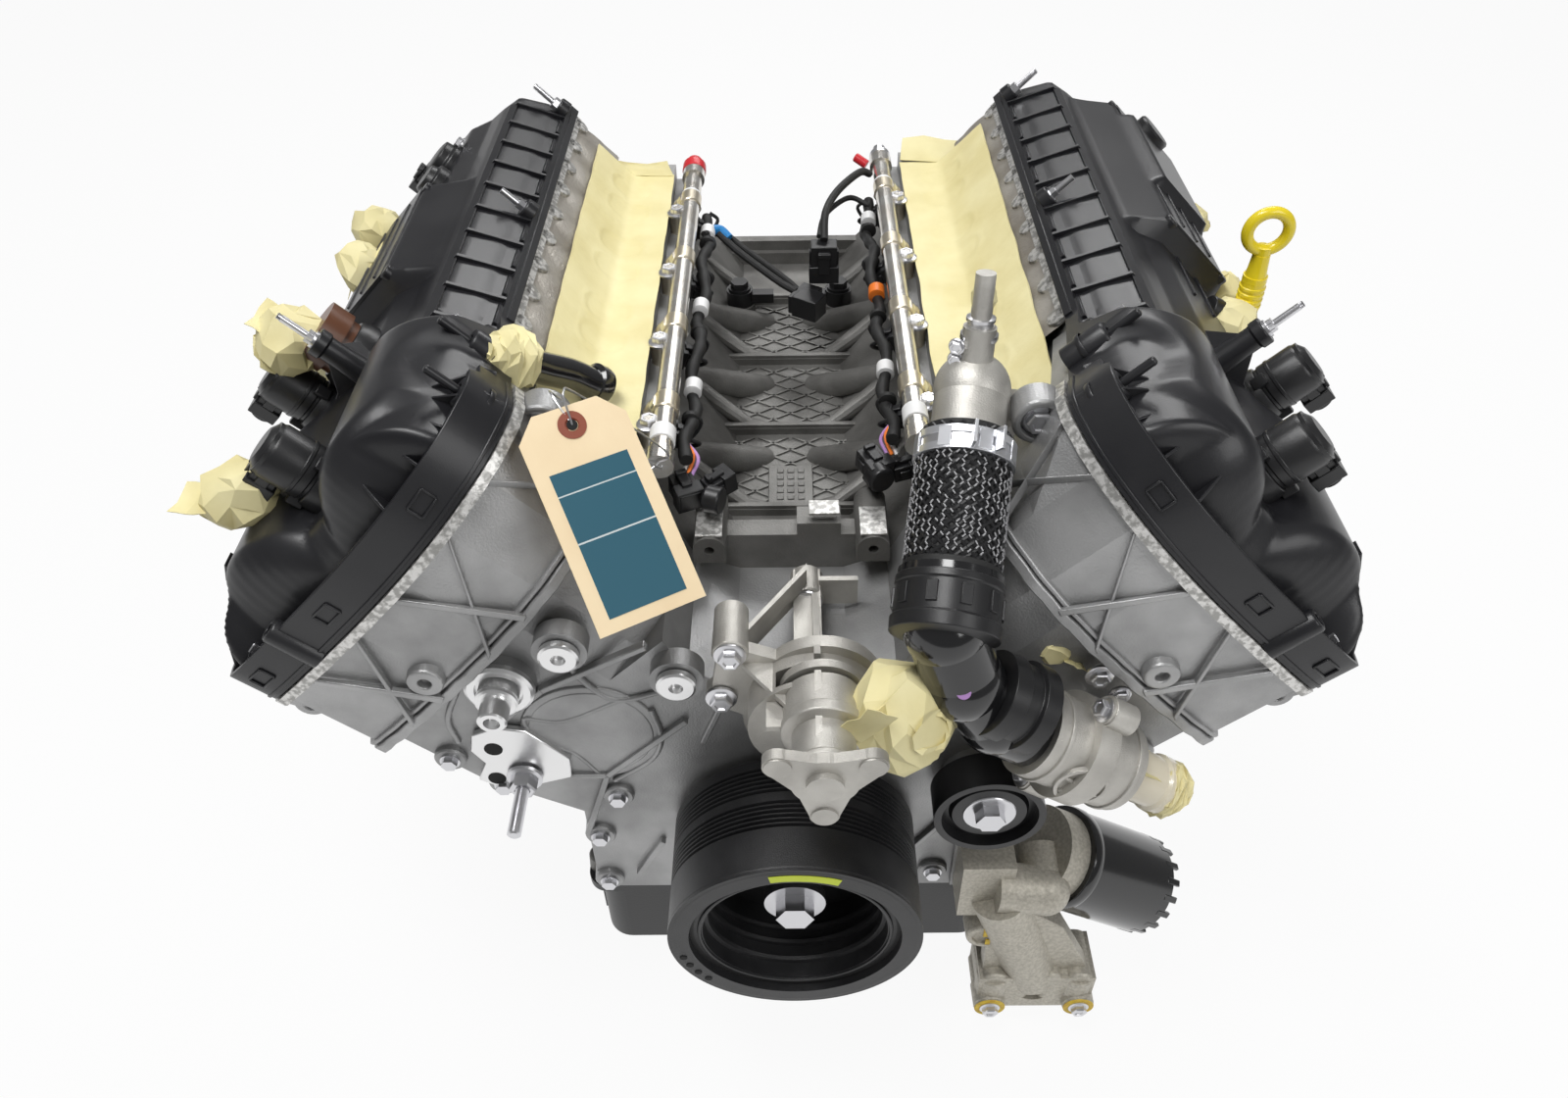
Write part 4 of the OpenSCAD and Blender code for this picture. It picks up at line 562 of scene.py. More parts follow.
# ---------------------------------------------------------------- covers
# Cross sections (w, height) of a cover's roof, of the separator box on it and of the box's raised panel
ROOF = [(-76, 10), (-70, 10), (-66, 24), (-54, 46), (-36, 50), (-20, 52), (0, 60), (62, 60), (92, 46), (107, 11),
        (122, 11)]
SEPARATOR = [(-44, 40), (-34, 53), (-6, 75), (66, 75), (84, 44)]
SEPARATOR_TOP = [(-10, 70), (0, 84), (60, 84), (72, 62)]
SEPARATOR_Y = {1: (FRONT_Y + 150, FRONT_Y + 300), 2: (FRONT_Y + 212, BANK_REAR[2] - 16)}
# Front domes: w of their axes and radius, then the radius and front face of the phasers inside them.
# The domes pass into the roof behind DOME_REAR; the flange stands FLANGE_U above the seam.
DOMES, DOME_R, PHASER_R, PHASER_Y, DOME_REAR, FLANGE_U = (-46, 64), 57.0, 51.5, -557.0, -404.0, 11.0


def front_path():
    """Points about 5 mm apart along the rounded front outline of a cover flange, each with its inward
    normal, in (w, y) from the inboard corner round to the outer side."""
    pts = spline([(w, y, 0) for w, y in (
        (-104, -484), (-112, -512), (-108, -532), (-92, -556), (-60, -578), (-20, -591), (30, -597), (106, -597),
        (120, -588), (122, -560))], 10)
    out, acc = [], 0.0
    for i, p in enumerate(pts):
        d = (pts[min(i + 1, len(pts) - 1)] - pts[max(i - 1, 0)]).normalized()
        if i:
            acc += (p - pts[i - 1]).length
        if not out or acc >= 5.0 or i == len(pts) - 1:
            out.append((p, V(-d.y, d.x, 0)))
            acc = 0.0
    return out


FRONT = front_path()
GUSSETS = {n: [FRONT_Y + 74 + k * (BANK_REAR[n] - FRONT_Y - 100) / 9 for k in range(10)] for n in (1, 2)}


def seam(n, w, u, y):
    """Place on bank n's cover, u above its seam."""
    return bank(n, w, SEAM_U + u, y)


def band_rings(shape, n, sections):
    """Rectangular band along an outline: sections are (outer, inner, low, high)."""
    shape.rings([[seam(n, o.x, lo, o.y), seam(n, o.x, hi, o.y), seam(n, q.x, hi, q.y), seam(n, q.x, lo, q.y)]
                 for o, q, lo, hi in sections])


def cover_height(n, w, y):
    """Height of the cover's outer skin above the seam."""
    body = interp(ROOF, w)
    if y < DOME_REAR:
        dome = interp([(-104, 12), (-46, 46), (64, 46), (120, 30)], w)
        for d in (abs(w - axis) for axis in DOMES):
            if d < DOME_R:
                dome = max(dome, 12 + sqrt(DOME_R * DOME_R - d * d))
        gap = min((V(w, y, 0) - p).length for p, _ in FRONT)
        k = (gap - (15 + 7 * ease((w + 60) / 60) if w < 84 else 22 - 18 * ease((w - 84) / 26))) / 24.0
        if k < 1:
            dome = FLANGE_U + (dome - FLANGE_U) * sqrt(1 - (1 - k) ** 2) if k > 0 else FLANGE_U
        # The phasers stay under the skin
        for d in (abs(w - axis) for axis in DOMES):
            if d < PHASER_R and y > PHASER_Y:
                t = min(1.0, (y - PHASER_Y) / 9.0)
                dome = max(dome, FLANGE_U + (1 + sqrt(PHASER_R * PHASER_R - d * d)) * sqrt(1 - (1 - t) ** 2))
        t = ease((DOME_REAR - y) / 40)
        body = body * (1 - t) + dome * t
    y0, y1 = SEPARATOR_Y[n]
    if y0 < y < y1 and -44 < w < 84:
        e = min(1.0, (y - y0) / 6.0, (y1 - y) / 6.0)
        body = max(body, body + (interp(SEPARATOR, w) - body) * e)
    if n == 2 and y0 + 70 < y < y1 - 30 and -10 < w < 72:
        e = min(1.0, (y - y0 - 70) / 5.0, (y1 - 30 - y) / 5.0)
        body = max(body, body + (interp(SEPARATOR_TOP, w) - body) * e)
    rear = BANK_REAR[n]
    if y > rear - 8:
        body = FLANGE_U + (body - FLANGE_U) * sqrt(max(0.0, 1 - ((y - rear + 8) / 10.0) ** 2))
    return body


def span_at(edge, y):
    """Least and greatest w of an outline in (w, y) on one row."""
    ws = [a.x + (b.x - a.x) * (y - a.y) / (b.y - a.y) if abs(a.y - b.y) > 1e-6 else a.x
          for a, b in zip(edge, edge[1:]) if min(a.y, b.y) <= y <= max(a.y, b.y)]
    return min(ws), max(ws)


def cover_shell(n):
    """Moulded skin of one cam cover: roof, domes, front band and gussets."""
    skin, band, rib = shapes(3)
    rear, up, count = BANK_REAR[n], bank(n, 0, 1), len(FRONT)
    edge = [V(-76, rear + 2, 0), V(-76, -382, 0)] + [p + nrm * 1.7 for p, nrm in FRONT] + [V(120.3, rear + 2, 0)]
    nose = min(p.y for p in edge) + 0.02
    ny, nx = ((240, 84))
    verts = []
    for j in range(ny + 1):
        # Rows crowd towards the front
        y = (rear + 2) + (nose - rear - 2) * (1 - (1 - j / ny) ** 1.35)
        wl, wr = span_at(edge, y)
        ws = [wl + (wr - wl) * i / nx for i in range(nx + 1)]
        verts += [seam(n, wl, 0.05, y)] + [seam(n, w, cover_height(n, w, y), y) for w in ws] + [seam(n, wr, 0.05, y)]
    m = nx + 3
    faces = grid_faces(ny, m - 1, n == 1)
    for row, flip in ((0, n == 1), (ny, n == 2)):
        f = tuple(range(row * m, row * m + m))
        faces.append(f[::-1] if flip else f)
    skin.add(verts, faces)
    shell = skin.make("cover%d_skin" % n, COVER, smooth=42.0)
    # Front band with its thin ledge, clip windows and bolt tower
    band_rings(band, n, [(p, p + nrm * 3.4, 0.1, 31.0 if 2 < k < count - 3 else 24.0)
                         for k, (p, nrm) in enumerate(FRONT)])
    band_rings(band, n, [(p - nrm * 0.9, p + nrm * 1.0, 3.0, 5.5) for p, nrm in FRONT])
    for k in (int(count * 0.36), int(count * 0.60), int(count * 0.80)):
        p, nrm = FRONT[k]
        o = p - nrm * 0.5
        c, along, thick = seam(n, o.x, 17, o.y), bank(n, nrm.y, 0, -nrm.x), bank(n, nrm.x, 0, nrm.y) * 0.8
        for a in (7, -7):
            band.box(c + along * a, along * 0.8, up * 5, thick)
        for a in (5, -5):
            band.box(c + up * a, along * 7, up * 0.8, thick)
    p, nrm = FRONT[int(count * 0.70)]
    c = p + nrm * 3.5
    band.lathe(seam(n, c.x, 0.2, c.y), up, [(0, 8.2), (33, 7.8), (34.5, 6.8), (34.6, 4.0), (28, 3.8)], 26)
    # Thin gussets between band and domes
    for k in range(3, count - 3, max(2, (count - 6) // 10)):
        p, nrm = FRONT[k]
        a, b = p + nrm * 3.0, p + nrm * (22.0 if p.x < 84 else 12.0)
        side = V(nrm.y, -nrm.x, 0) * 0.9
        h = min(46.0, cover_height(n, b.x, b.y) + 0.6)
        rib.prism([seam(n, v.x - side.x, u, v.y - side.y) for v, u in ((a, 10), (a, 29.5), (b, h), (b, 10))],
                  bank(n, 2 * side.x, 0, 2 * side.y))
    # Gussets over the inboard flange
    for y in GUSSETS[n]:
        rib.prism([seam(n, w, u, y) for w, u in ((-75.5, 9), (-57, 47.5), (-51, 47.5), (-66, 9))], (0, 3.2, 0))
    # Bolt towers with studs at the inboard corner
    for w, y in ((-94, -455), (-102, -515)):
        c = seam(n, w, 0.2, y)
        band.lathe(c, up, [(0, 10.5), (29, 9.8), (31, 8.6), (31.1, 4.2), (26, 4.0)], 28)
        band.lathe(c, up, [(12, 11.4), (13, 11.8), (15, 11.8), (16, 11.4)], 28, loop=True)
        band.lathe(c + up * 24, up, [(0, 2.8), (28, 2.8), (29, 1.8)], 12)
        v = seam(n, w + 26, 0.2, y + 8)
        band.prism([c + up * 2, c + up * 30, v + up * 30, v + up * 4], (0, 2.4, 0))
    # Stand-off with its tapered webs
    y = FRONT_Y + 56.5
    rib.lathe(seam(n, 4, 46, y + 1.5), up, [(0, 9.5), (30, 8.2), (40, 8.2), (41, 9.6), (47.5, 9.6), (48, 8.8)])
    rib.prism([seam(n, w, u, y) for w, u in ((4, 50), (4, 88), (30, 62), (52, 56))], (0, 3.0, 0))
    rib.prism([seam(n, 2.5, u, FRONT_Y + dy) for u, dy in ((50, 62), (84, 62), (52, 104))], bank(n, 3.0, 0))
    # Square clip window on the outer dome, and a small hook below it
    for w, h, y, a in ((92, 62, -540, 6.0), (104, 42, -566, 4.5)):
        rib.box(seam(n, w, h, y), bank(n, a, -a * 0.6), (0, a, 0), up * 2.4)
    band.make("cover%d_band" % n, COVER, smooth=35.0, bevel=0.6)
    rib.make("cover%d_gussets" % n, COVER, bevel=0.4)
    return shell


def cover_details(n):
    """Connectors, tapes, studs, ribs and towers of one cam cover."""
    bl, tape, steel, ribs = shapes(4)
    up, out, rear = bank(n, 0, 1), bank(n, 1, 0), BANK_REAR[n]
    middle, length = (FRONT_Y + rear) / 2, rear - FRONT_Y
    sep0, sep1 = SEPARATOR_Y[n]

    def at(w, u, y):
        return seam(n, w, u, y)

    # Panels between the gussets, and the edge band above them
    pitch = (length - 100) / 9
    for y in (g + 3.5 + (pitch - 3.5) / 2 for g in GUSSETS[n][:9]):
        e = pitch * 0.44
        ribs.prism([at(-70.5, 12, y - e), at(-64.5, 25, y - e), at(-64.5, 25, y + e), at(-70.5, 12, y + e)], out * 2.0)
        ribs.box(at(-71, 11, y), (0, pitch * 0.3, 0), out * 2.0, up * 1.4)
    ribs.prism([at(w, u, FRONT_Y + 74) for w, u in ((-56, 46), (-49, 50), (-46, 48), (-52, 43))], (0, length - 96, 0))
    # Bolt towers
    for y in (rear - 14, middle + 16, FRONT_Y + 60):
        ribs.lathe(at(-74, 10, y), up, [(0, 9), (8, 8.4), (9, 7.6)], 20)
    for w, y in ((112, rear - 20), (114, -160), (114, -290), (114, -400), (112, -520), (100, -580)):
        ribs.lathe(at(w, 6, y), up, [(0, 9.5), (18, 8.6), (19, 7.6)], 20)
        steel.bolt(at(w, 25, y), up, 5.4, 6, 1.3)
    # Fold lines of the roof, and the seal of the flange
    for w in (20, 46):
        ribs.box(at(w, 60, middle + 60), (0, length / 2 - 100, 0), out * 1.6, up * 1.8)
    ribs.box(at(-76, 3, middle + 45), (0, length / 2 - 46, 0), out * 1.4, up * 3)
    # Studs
    steel.bolt(at(-74, 17, rear - 14), up, 5.5, 7, 1.2, stud=26)
    steel.bolt(at(4, 94, FRONT_Y + 58), up, 4.6, 5.5, 1.2, stud=26)
    # Solenoid plugs
    for w, y, u in ((66, FRONT_Y + 79, 66), (9, FRONT_Y - 46, 58)):
        bl.lathe(at(w, u - 26, y), up, [(0, 21), (20, 20.5), (26, 19)], 28)
        bl.lathe(at(w, u + 2, y), up, [(0, 17.4), (1, 18), (26, 18), (28, 17), (31, 15), (33.5, 11)], 28)
        bl.lathe(at(w, u + 8, y), up, [(0, 18.5), (3, 18.5)], 28)
        for a in (0.6, 2.7, 4.8):
            d = polar(out, FWD, a)
            bl.box(at(w, u + 1, y) + d * 19, d * 3, up * 5, d.cross(up) * 4)
        connector(bl, at(w + 8, u + 22, y), out, up, (9.5, 8, 11.5))
    # Separator box: lid seam, ribs and corner posts
    mid, half = (sep0 + sep1) / 2, (sep1 - sep0) / 2
    ribs.box(at(30, 75, mid), (0, half - 6, 0), out * 32, up * 1.5)
    for w in (12, 30, 48):
        ribs.box(at(w, 76.6, mid), (0, half - 18, 0), out * 1.2, up * 1.2)
    for y in (sep0 + 10, sep1 - 10):
        for w in (-4, 64):
            ribs.lathe(at(w, 66, y), up, [(0, 6), (9, 6), (10, 5)], 16)
    if n == 2:
        # Breather port with its hose stub, and three taped ends
        bl.lathe(at(50, 70, sep1 - 62), (out * 0.8 + FWD * 0.25), [(0, 11), (22, 11), (23, 9), (44, 9), (45, 7)], 22)
        bl.lathe(at(28, 82, sep1 - 34), up, [(0, 17), (6, 17), (8, 15.5)], 28)
        crumple(tape, at(98, 66, sep1 - 70), 16, out + up * 0.4, 1.0, (0.9, 0.8, 1.25))
        crumple(tape, at(88, 62, sep0 + 26), 19, out, 2.0, (1.0, 1.1, 1.0))
        crumple(tape, at(74, 62, sep0 - 34), 20, out, 3.0, (1.1, 1.2, 0.9))
        flap(tape, at(80, 66, sep0 + 40), out * 0.3 + BACK, out, 34, 26, 5.0)
        bl.lathe(at(64, 60, sep0 + 28), out + up * 0.3, [(0, 10), (26, 10), (27, 8)], 20)
        bl.lathe(at(52, 58, sep0 - 30), out + up * 0.3, [(0, 10), (24, 10), (25, 8)], 20)
        connector(bl, at(46, 52, rear - 46), out * 0.4 + BACK, up, (9, 8, 11))
    else:
        # Sensors and the joints under their tapes
        connector(bl, at(34, 60, -150), out + FWD * 0.2, up, (10, 8, 14))
        connector(bl, at(38, 60, -206), out + BACK * 0.2, up, (10, 8, 14))
        bl.lathe(at(24, 58, -118), up, [(0, 18), (10, 17), (11, 14), (16, 12)], 26)
        bl.lathe(at(30, 58, -176), up, [(0, 16), (10, 15), (12, 12)], 26)
        crumple(tape, at(62, 78, -172), 21, out, 6.0, (1.2, 1.1, 0.9))
        crumple(tape, at(60, 76, -232), 20, out, 7.0, (1.25, 1.2, 0.8))
        flap(tape, at(40, 76, -226), out + up * 0.2, BACK, 46, 40, 8.0)
        crumple(tape, at(84, 66, FRONT_Y + 154), 18, out, 9.0, (1.0, 1.3, 0.9))
    # Cam sensor at the rear
    bl.lathe(at(26, 56, rear - 42), up, [(0, 22), (8, 21), (10, 18), (16, 17), (17, 13)], 28)
    steel.bolt(at(4, 62, rear - 36), up, 5, 5, 1.3)
    connector(bl, at(40, 66, rear - 42), out + BACK * 0.3, up, (9, 7, 12))
    if n == 1:
        # Oil filler sleeve and the tape over its mouth
        bl.lathe(at(24, 58, FRONT_Y + 93), up, [(0, 26), (8, 25), (14, 22)], 30)
        crumple(tape, at(40, 100, FRONT_Y + 88), 24, up * 0.7 + out, 11.0, (1.15, 1.0, 1.0))
        flap(tape, at(34, 104, FRONT_Y + 96), up + out * 0.6, FWD, 26, 34, 12.0)
        crumple(tape, at(54, 84, FRONT_Y - 46), 21, out + up * 0.3, 13.0, (1.0, 1.1, 1.25))
        flap(tape, at(62, 92, FRONT_Y - 50), out + up * 0.7, FWD, 24, 30, 14.0)
    bl.make("cover%d_plugs" % n, BLACK, bevel=0.6, slot="connector_plastic")
    tape.make("cover%d_tapes" % n, TAPE, smooth=22.0)
    steel.make("cover%d_bolts" % n, ZINC)
    ribs.make("cover%d_ribs" % n, COVER, bevel=0.5)


# ---------------------------------------------------------------- hose and tag
def hose():
    a, b = V(106, FRONT_Y - 36, 292), V(90, FRONT_Y - 124, 240)
    d, length = (b - a).normalized(), (b - a).length
    x, y, _ = frame_of(d)
    strand, fleck, end, ring, band, nipple, tape = shapes(7)
    r, count, turns, yarns = 27.4, 26, 3.4, 44
    for sense in (1, -1):
        for k in range(count):
            pts = []
            for t in (i / 30 for i in range(31)):
                lift = 0.45 * cos(pi * (t * turns * count / pi + sense * 0.5 + k))
                pts.append(a + d * (2 + t * (length * 0.82))
                           + polar(x, y, 2 * pi * k / count + sense * t * turns) * (r + lift))
            strand.tube(pts, 1.25, 6)
    # Pale yarns that show as slanted dashes
    for k in range(yarns):
        for i in range(count):
            if noise.noise(V(k * 0.9, i * 0.7, 8.0)) < -0.08:
                continue
            o = polar(x, y, 2 * pi * (k + 0.25 * noise.noise(V(k, i, 1.7))) / yarns)
            t = length * (0.10 + 0.70 * (i + 0.3 * noise.noise(V(i, k, 4.1))) / count)
            c = a + d * t + o * (r + 1.5)
            v = d + o.cross(d).normalized() * (0.85 if (i + k) % 2 else -0.85)
            fleck.tube([c - v, c + v], 0.5, 5)
    strand.make("hose_braid", BRAID)
    fleck.make("hose_flecks", FLECK)
    end.lathe(a + d * (length * 0.80), d, [(0, 27.8), (1, 28.8), (length * 0.16, 28.8), (length * 0.19, 28.2)], 48)
    end.make("hose_end", RUBBER, slot="hose_rubber")
    # Quick connector ring with its lugs
    c = b - d * 12
    ring.lathe(c, d, [(0, 30.6), (0.6, 32.0), (5, 32.2), (6, 31.4), (24, 31.4), (25, 32.6), (33, 32.2), (35, 27)], 48)
    for k in range(10):
        o = polar(x, y, 2 * pi * k / 10)
        ring.box(c + d * 14 + o * 31.6, d * 6, o * 0.9, o.cross(d) * 3.4)
    ring.make("hose_collar", BLACK, bevel=0.4)
    # Spring band clamp with its ears
    for t in (5.0, 15.0):
        band.lathe(a + d * t, d, [(0, 28.6), (0.2, 30.6), (4.8, 30.6), (5, 28.6)], 48)
    for angles, t, rad, sizes in (((1.2, 2.0, 2.8, 3.6, 4.4, 5.2, 6.0, 0.4), 12.5, 30.2, (6, 0.7, 4)),
                                  ((1.0, 1.45), 12, 34, (7, 5.5, 1.0))):
        for o in (polar(x, y, ang) for ang in angles):
            band.box(a + d * t + o * rad, d * sizes[0], o * sizes[1], o.cross(d) * sizes[2])
    band.make("hose_band", BRIGHT, bevel=0.2)
    # Nipple on the neck with its tape
    neck = a - d * 30
    tip, base = neck + V(3, 14, 62), neck + V(2, 8, 30)
    ax = (tip - base).normalized()
    nipple.lathe(base, ax, [(0, 10.4), (2, 11.4), (5, 11.4), (7, 8), (12, 7.6), (13, 8.8), (15, 8.8), (16, 6.4),
                            (30, 6.2), (34, 5)])
    for t in (3, 12):
        nipple.bolt(base + V(-13, -4, 2 - t), (-0.5, -1, 0.1), 4.4, 4, 1.2)
    nipple.make("neck_nipple", ZINC)
    crumple(tape, tip + ax * -6, 10, ax, 21.0, (0.75, 0.6, 1.3), 0.4)
    flap(tape, tip - ax * 4, ax, (1, 0.2, 0), 12, 13, 22.0, 0.3)
    tape.make("neck_tape", TAPE, smooth=22.0)


def tag():
    """Card tag with cut corners, a blank label and its wire; stands over the plain CAD tag."""
    c = V(-104, FRONT_Y - 92, 284)
    rot = Matrix.Rotation(radians(30), 3, "Z") @ Matrix.Rotation(radians(38), 3, "X")
    card, label, eye, line, wire, hole = shapes(6)

    def at(x, y, z=0.0):
        return c + rot @ V(x, y, z + (1.6 * sin((y + 66) / 132 * pi) + 0.8 * sin(x / 33)) * 0.6)

    def plate(s, outline, z0, z1, rows=12):
        """Bent plate between z0 and z1, cut in rows along the tag."""
        y0, y1 = outline[0][1], outline[2][1]
        rings = []
        for yy in sorted({p[1] for p in outline} | {y0 + (y1 - y0) * k / rows for k in range(rows + 1)}):
            xs = []
            for (xa, ya), (xb, yb) in zip(outline, outline[1:] + outline[:1]):
                if min(ya, yb) - 1e-6 <= yy <= max(ya, yb) + 1e-6:
                    xs += [xa, xb] if abs(ya - yb) < 1e-6 else [xa + (xb - xa) * (yy - ya) / (yb - ya)]
            xm = [min(xs) + (max(xs) - min(xs)) * k / 6 for k in range(7)]
            rings.append([at(xv, yy, z0) for xv in xm] + [at(xv, yy, z1) for xv in xm[::-1]])
        s.rings(rings)

    plate(card, [(-33, -66), (33, -66), (33, 52), (20, 66), (-20, 66), (-33, 52)], 0.0, 0.7)
    plate(label, [(-24, -58), (24, -58), (24, 30), (-24, 30)], 0.7, 0.95)
    for y0, y1 in ((-13, -12), (16, 16.8)):
        plate(line, [(-24, y0), (24, y0), (24, y1), (-24, y1)], 0.95, 1.0, 1)
    o, nrm = at(0, 54), rot @ TOP
    eye.lathe(o - nrm * 0.5, nrm, [(0, 8.4), (1.9, 8.4), (2.0, 4.2), (1.2, 3.6)], 28)
    # The hole is a near-black disc laid over the eyelet: painted shade
    hole.lathe(o + nrm * 0.9, nrm, [(0, 3.2), (0.7, 3.2)], 20)
    for near, far in ((((-4, 10, 16), (2, 24, 4)), [(-80, -480, 262), (-85, -478, 250), (-92, -482, 246)]),
                      (((-12, 14, 12), (-10, 30, -4)), [(-88, -486, 256), (-82, -480, 249)])):
        wire.tube(spline([o + nrm] + [o + Vector(p) for p in near] + far, 8), 0.7, 8)
    card_o = card.make("tag_card", CARD, smooth=40.0)
    label.make("tag_label", TEAL, smooth=40.0)
    line.make("tag_lines", PALE_INK, smooth=0)
    eye.make("tag_eyelet", EYELET)
    hole.make("tag_hole", HOLE_SHADE)
    wire.make("tag_wire", ZINC, slot=None)
    return card_o


# ---------------------------------------------------------------- front of the case
def front_details():
    bolts, cast, bosses, bead, pads, spin, ear, holes = shapes(8)
    y = CASE_Y
    for x, z in ((-232, 80), (-123, 36), (-141, -71), (104, -62), (-141, -12), (232, 80), (-200, 52)):
        bosses.lathe((x, y + 10, z), FWD, [(0, 12), (13, 11), (14.2, 10)])
    # Ribs of the case
    for xa, za, xb, zb, w in ((-150, -10, -128, 60, 2.2), (-128, 60, -70, 118, 2.2), (-190, 60, -128, 60, 2.0),
                              (70, -60, 112, 10, 2.2), (52, 110, 88, 158, 2.2), (-60, 96, -40, 150, 2.0),
                              (-214, 96, -160, 150, 2.2), (-160, 150, -90, 190, 2.2), (150, 14, 190, 60, 2.2),
                              (-118, -64, -96, -20, 2.2), (190, 60, 226, 96, 2.2)):
        p, q = V(xa, y - 1.5, za), V(xb, y - 1.5, zb)
        v = (q - p) / 2
        cast.box((p + q) / 2, v, FWD * 3.0, v.cross(FWD).normalized() * w)
    # Round blank cover of the chain window
    cast.lathe((-134, y + 1, 104), FWD, [(0, 47), (1.8, 47), (2.6, 46)], 56)
    cast.lathe((-134, y + 1, 104), FWD, [(0, 42), (3.0, 41.6), (3.2, 40)], 56)
    # Machined pads on the front rail of the valley
    for x0, x1, y0, y1 in ((-64, -46, -492, -464), (12, 33, -471, -457), (46, 64, -492, -464)):
        pads.block(((x0 + x1) / 2, (y0 + y1) / 2, 198.2), (x1 - x0) / 2, (y1 - y0) / 2, 0.9)
    pads.make("rail_pads", SPECKLE, bevel=0.4)
    cast.make("case_ribs", CASE, bevel=0.8)
    bosses.make("case_bosses", CASE)
    # Bolts round the pump and the case
    for x, dy, z, h in ((-38, -10, 190, 7.5), (-45, -10, 150, 7.5), (62, -10, 122, 7.5), (10, 58, 166, 8)):
        bolts.bolt((x, y + dy, z), FWD, 7.2, h, 1.4)
    for x, z in ((-141, 195), (-72, 168)):
        disc = Shape()
        disc.lathe((x, y - 13, z), FWD, [(0, 12.5), (4, 12.5), (5, 11), (5.1, 4.6), (0.5, 4.2)], 28)
        disc.make("boss_rim_%d" % -x, MACHINED)
    spin.lathe((-184, y - 18, 159), FWD, [(0, 13.5), (3, 13.5), (4, 12), (4.1, 9.5), (18, 9.2), (19, 8.2), (19.1, 5.2),
                                          (12, 5.0)], 32)
    spin.lathe((-184, y - 8, 159), FWD, [(0, 22.4), (3, 22), (4.5, 20), (4.6, 15.5), (2, 15)], 40)
    spin.make("spindle_rim", MACHINED)
    # Machined ear with two holes beside the long stud
    ear.prism([(x, y - 1, z) for x, z in ((-212, 108), (-196, 116), (-176, 112), (-150, 82), (-152, 62), (-176, 54),
                                          (-204, 52), (-216, 60), (-208, 78), (-216, 92))], (0, -5, 0))
    ear.make("case_ear", MACHINED, bevel=1.0, slot="machined_aluminium")
    # The two holes are near-black discs on the face, not openings: painted shade
    for x, z in ((-200, 94), (-203, 62)):
        holes.lathe((x, y - 6.0, z), FWD, [(0, 6.2), (0.3, 6.2)])
    holes.make("case_ear_holes", HOLE_SHADE)
    bolts.bolt((-183, y - 8, 66), FWD, 9.5, 12, 1.3, stud=46)
    # Case seam: a raised bead from boss to boss and down the flank
    for pts in (((-141, 172), (-128, 150), (-112, 138), (-84, 146), (-72, 152)),
                ((-112, 138), (-150, 118), (-176, 120), (-168, 96), (-148, 84), (-132, 58)),
                ((-206, 176), (-214, 150), (-226, 120), (-224, 96)), ((-92, 128), (-88, 100), (-96, 76), (-124, 52))):
        bead.tube(spline([(px, y - 0.8, pz) for px, pz in pts], 6), 2.2, 8)
    bead.make("case_beads", CASE, smooth=60.0)
    bolts.make("case_screws", ZINC)


def head_details(n):
    """Bolts and bosses in front of one head and along its exhaust side."""
    steel, cast = shapes(2)
    out = bank(n, 1, 0)
    d = Matrix.Rotation(radians(62 * sgn(n)), 3, "Y") @ TOP
    for y in (cyl_y(n, i) for i in range(4)):
        for dy, u in ((-32, 252), (32, 298)):
            p = bank(n, 109, u, y + dy)
            cast.lathe(p - out * 10, out, [(0, 12), (14, 11), (15, 10)], 22)
            steel.lathe(p + out * 5, out, [(0, 4), (26, 4), (27, 3)], 12)
        # Raised face round the exhaust port
        cast.lathe(bank(n, 112, 274, y) - d * 6, d, [(4, 27), (8, 26), (8.1, 19.4), (-4, 19.2)], 32)
    # Bolts on the front end
    for w, u, dy in ((-60, 318, 26), (96, 316, 0)):
        steel.bolt(bank(n, w, u, FRONT_Y - dy), FWD, 7.5, 8, 1.4)
    cast.make("head%d_bosses" % n, CAST)
    steel.make("head%d_studs" % n, ZINC)


def embossed_pad(n):
    """Stippled shield along the intake side of the head, with its pressed dimples and pale seal rail."""
    s, rail = shapes(2)
    y0, y1 = FRONT_Y + 96, BANK_REAR[n] - 4
    inn, a, b = bank(n, -1, 0), bank(n, -70, 288), bank(n, -70, 337)
    nx, ny = 20, (170)
    top = []
    for j in range(ny + 1):
        y = y0 + (y1 - y0) * j / ny
        for i in range(nx + 1):
            p = a.lerp(b, i / nx)
            lift = 1.2
            for k in range(8):
                d = hypot((y - (y0 + 30 + k * 46)) / 17.0, (i / nx - 0.55) / 0.34)
                lift += 1.8 * max(0.0, 1 - d * d)
            if i in (0, nx) or j in (0, ny):
                lift = 0.05
            top.append(V(p.x, y, p.z) + inn * lift)
    s.add(top, grid_faces(ny, nx, n == 2))
    s.make("head%d_shield" % n, SHIELD, smooth=50.0)
    for k in range(9):
        rail.lathe(bank(n, -71, 333, y0 + 8 + k * (y1 - y0 - 16) / 8), inn, [(0, 8), (2.6, 7.6), (3.0, 6.4)], 20)
    rail.box(bank(n, -72.4, 337, (y0 + y1) / 2), (0, (y1 - y0) / 2, 0), bank(n, 1.6, 0), bank(n, 0, 3.0))
    rail.make("head%d_seal_rail" % n, SPECKLE, smooth=40.0)


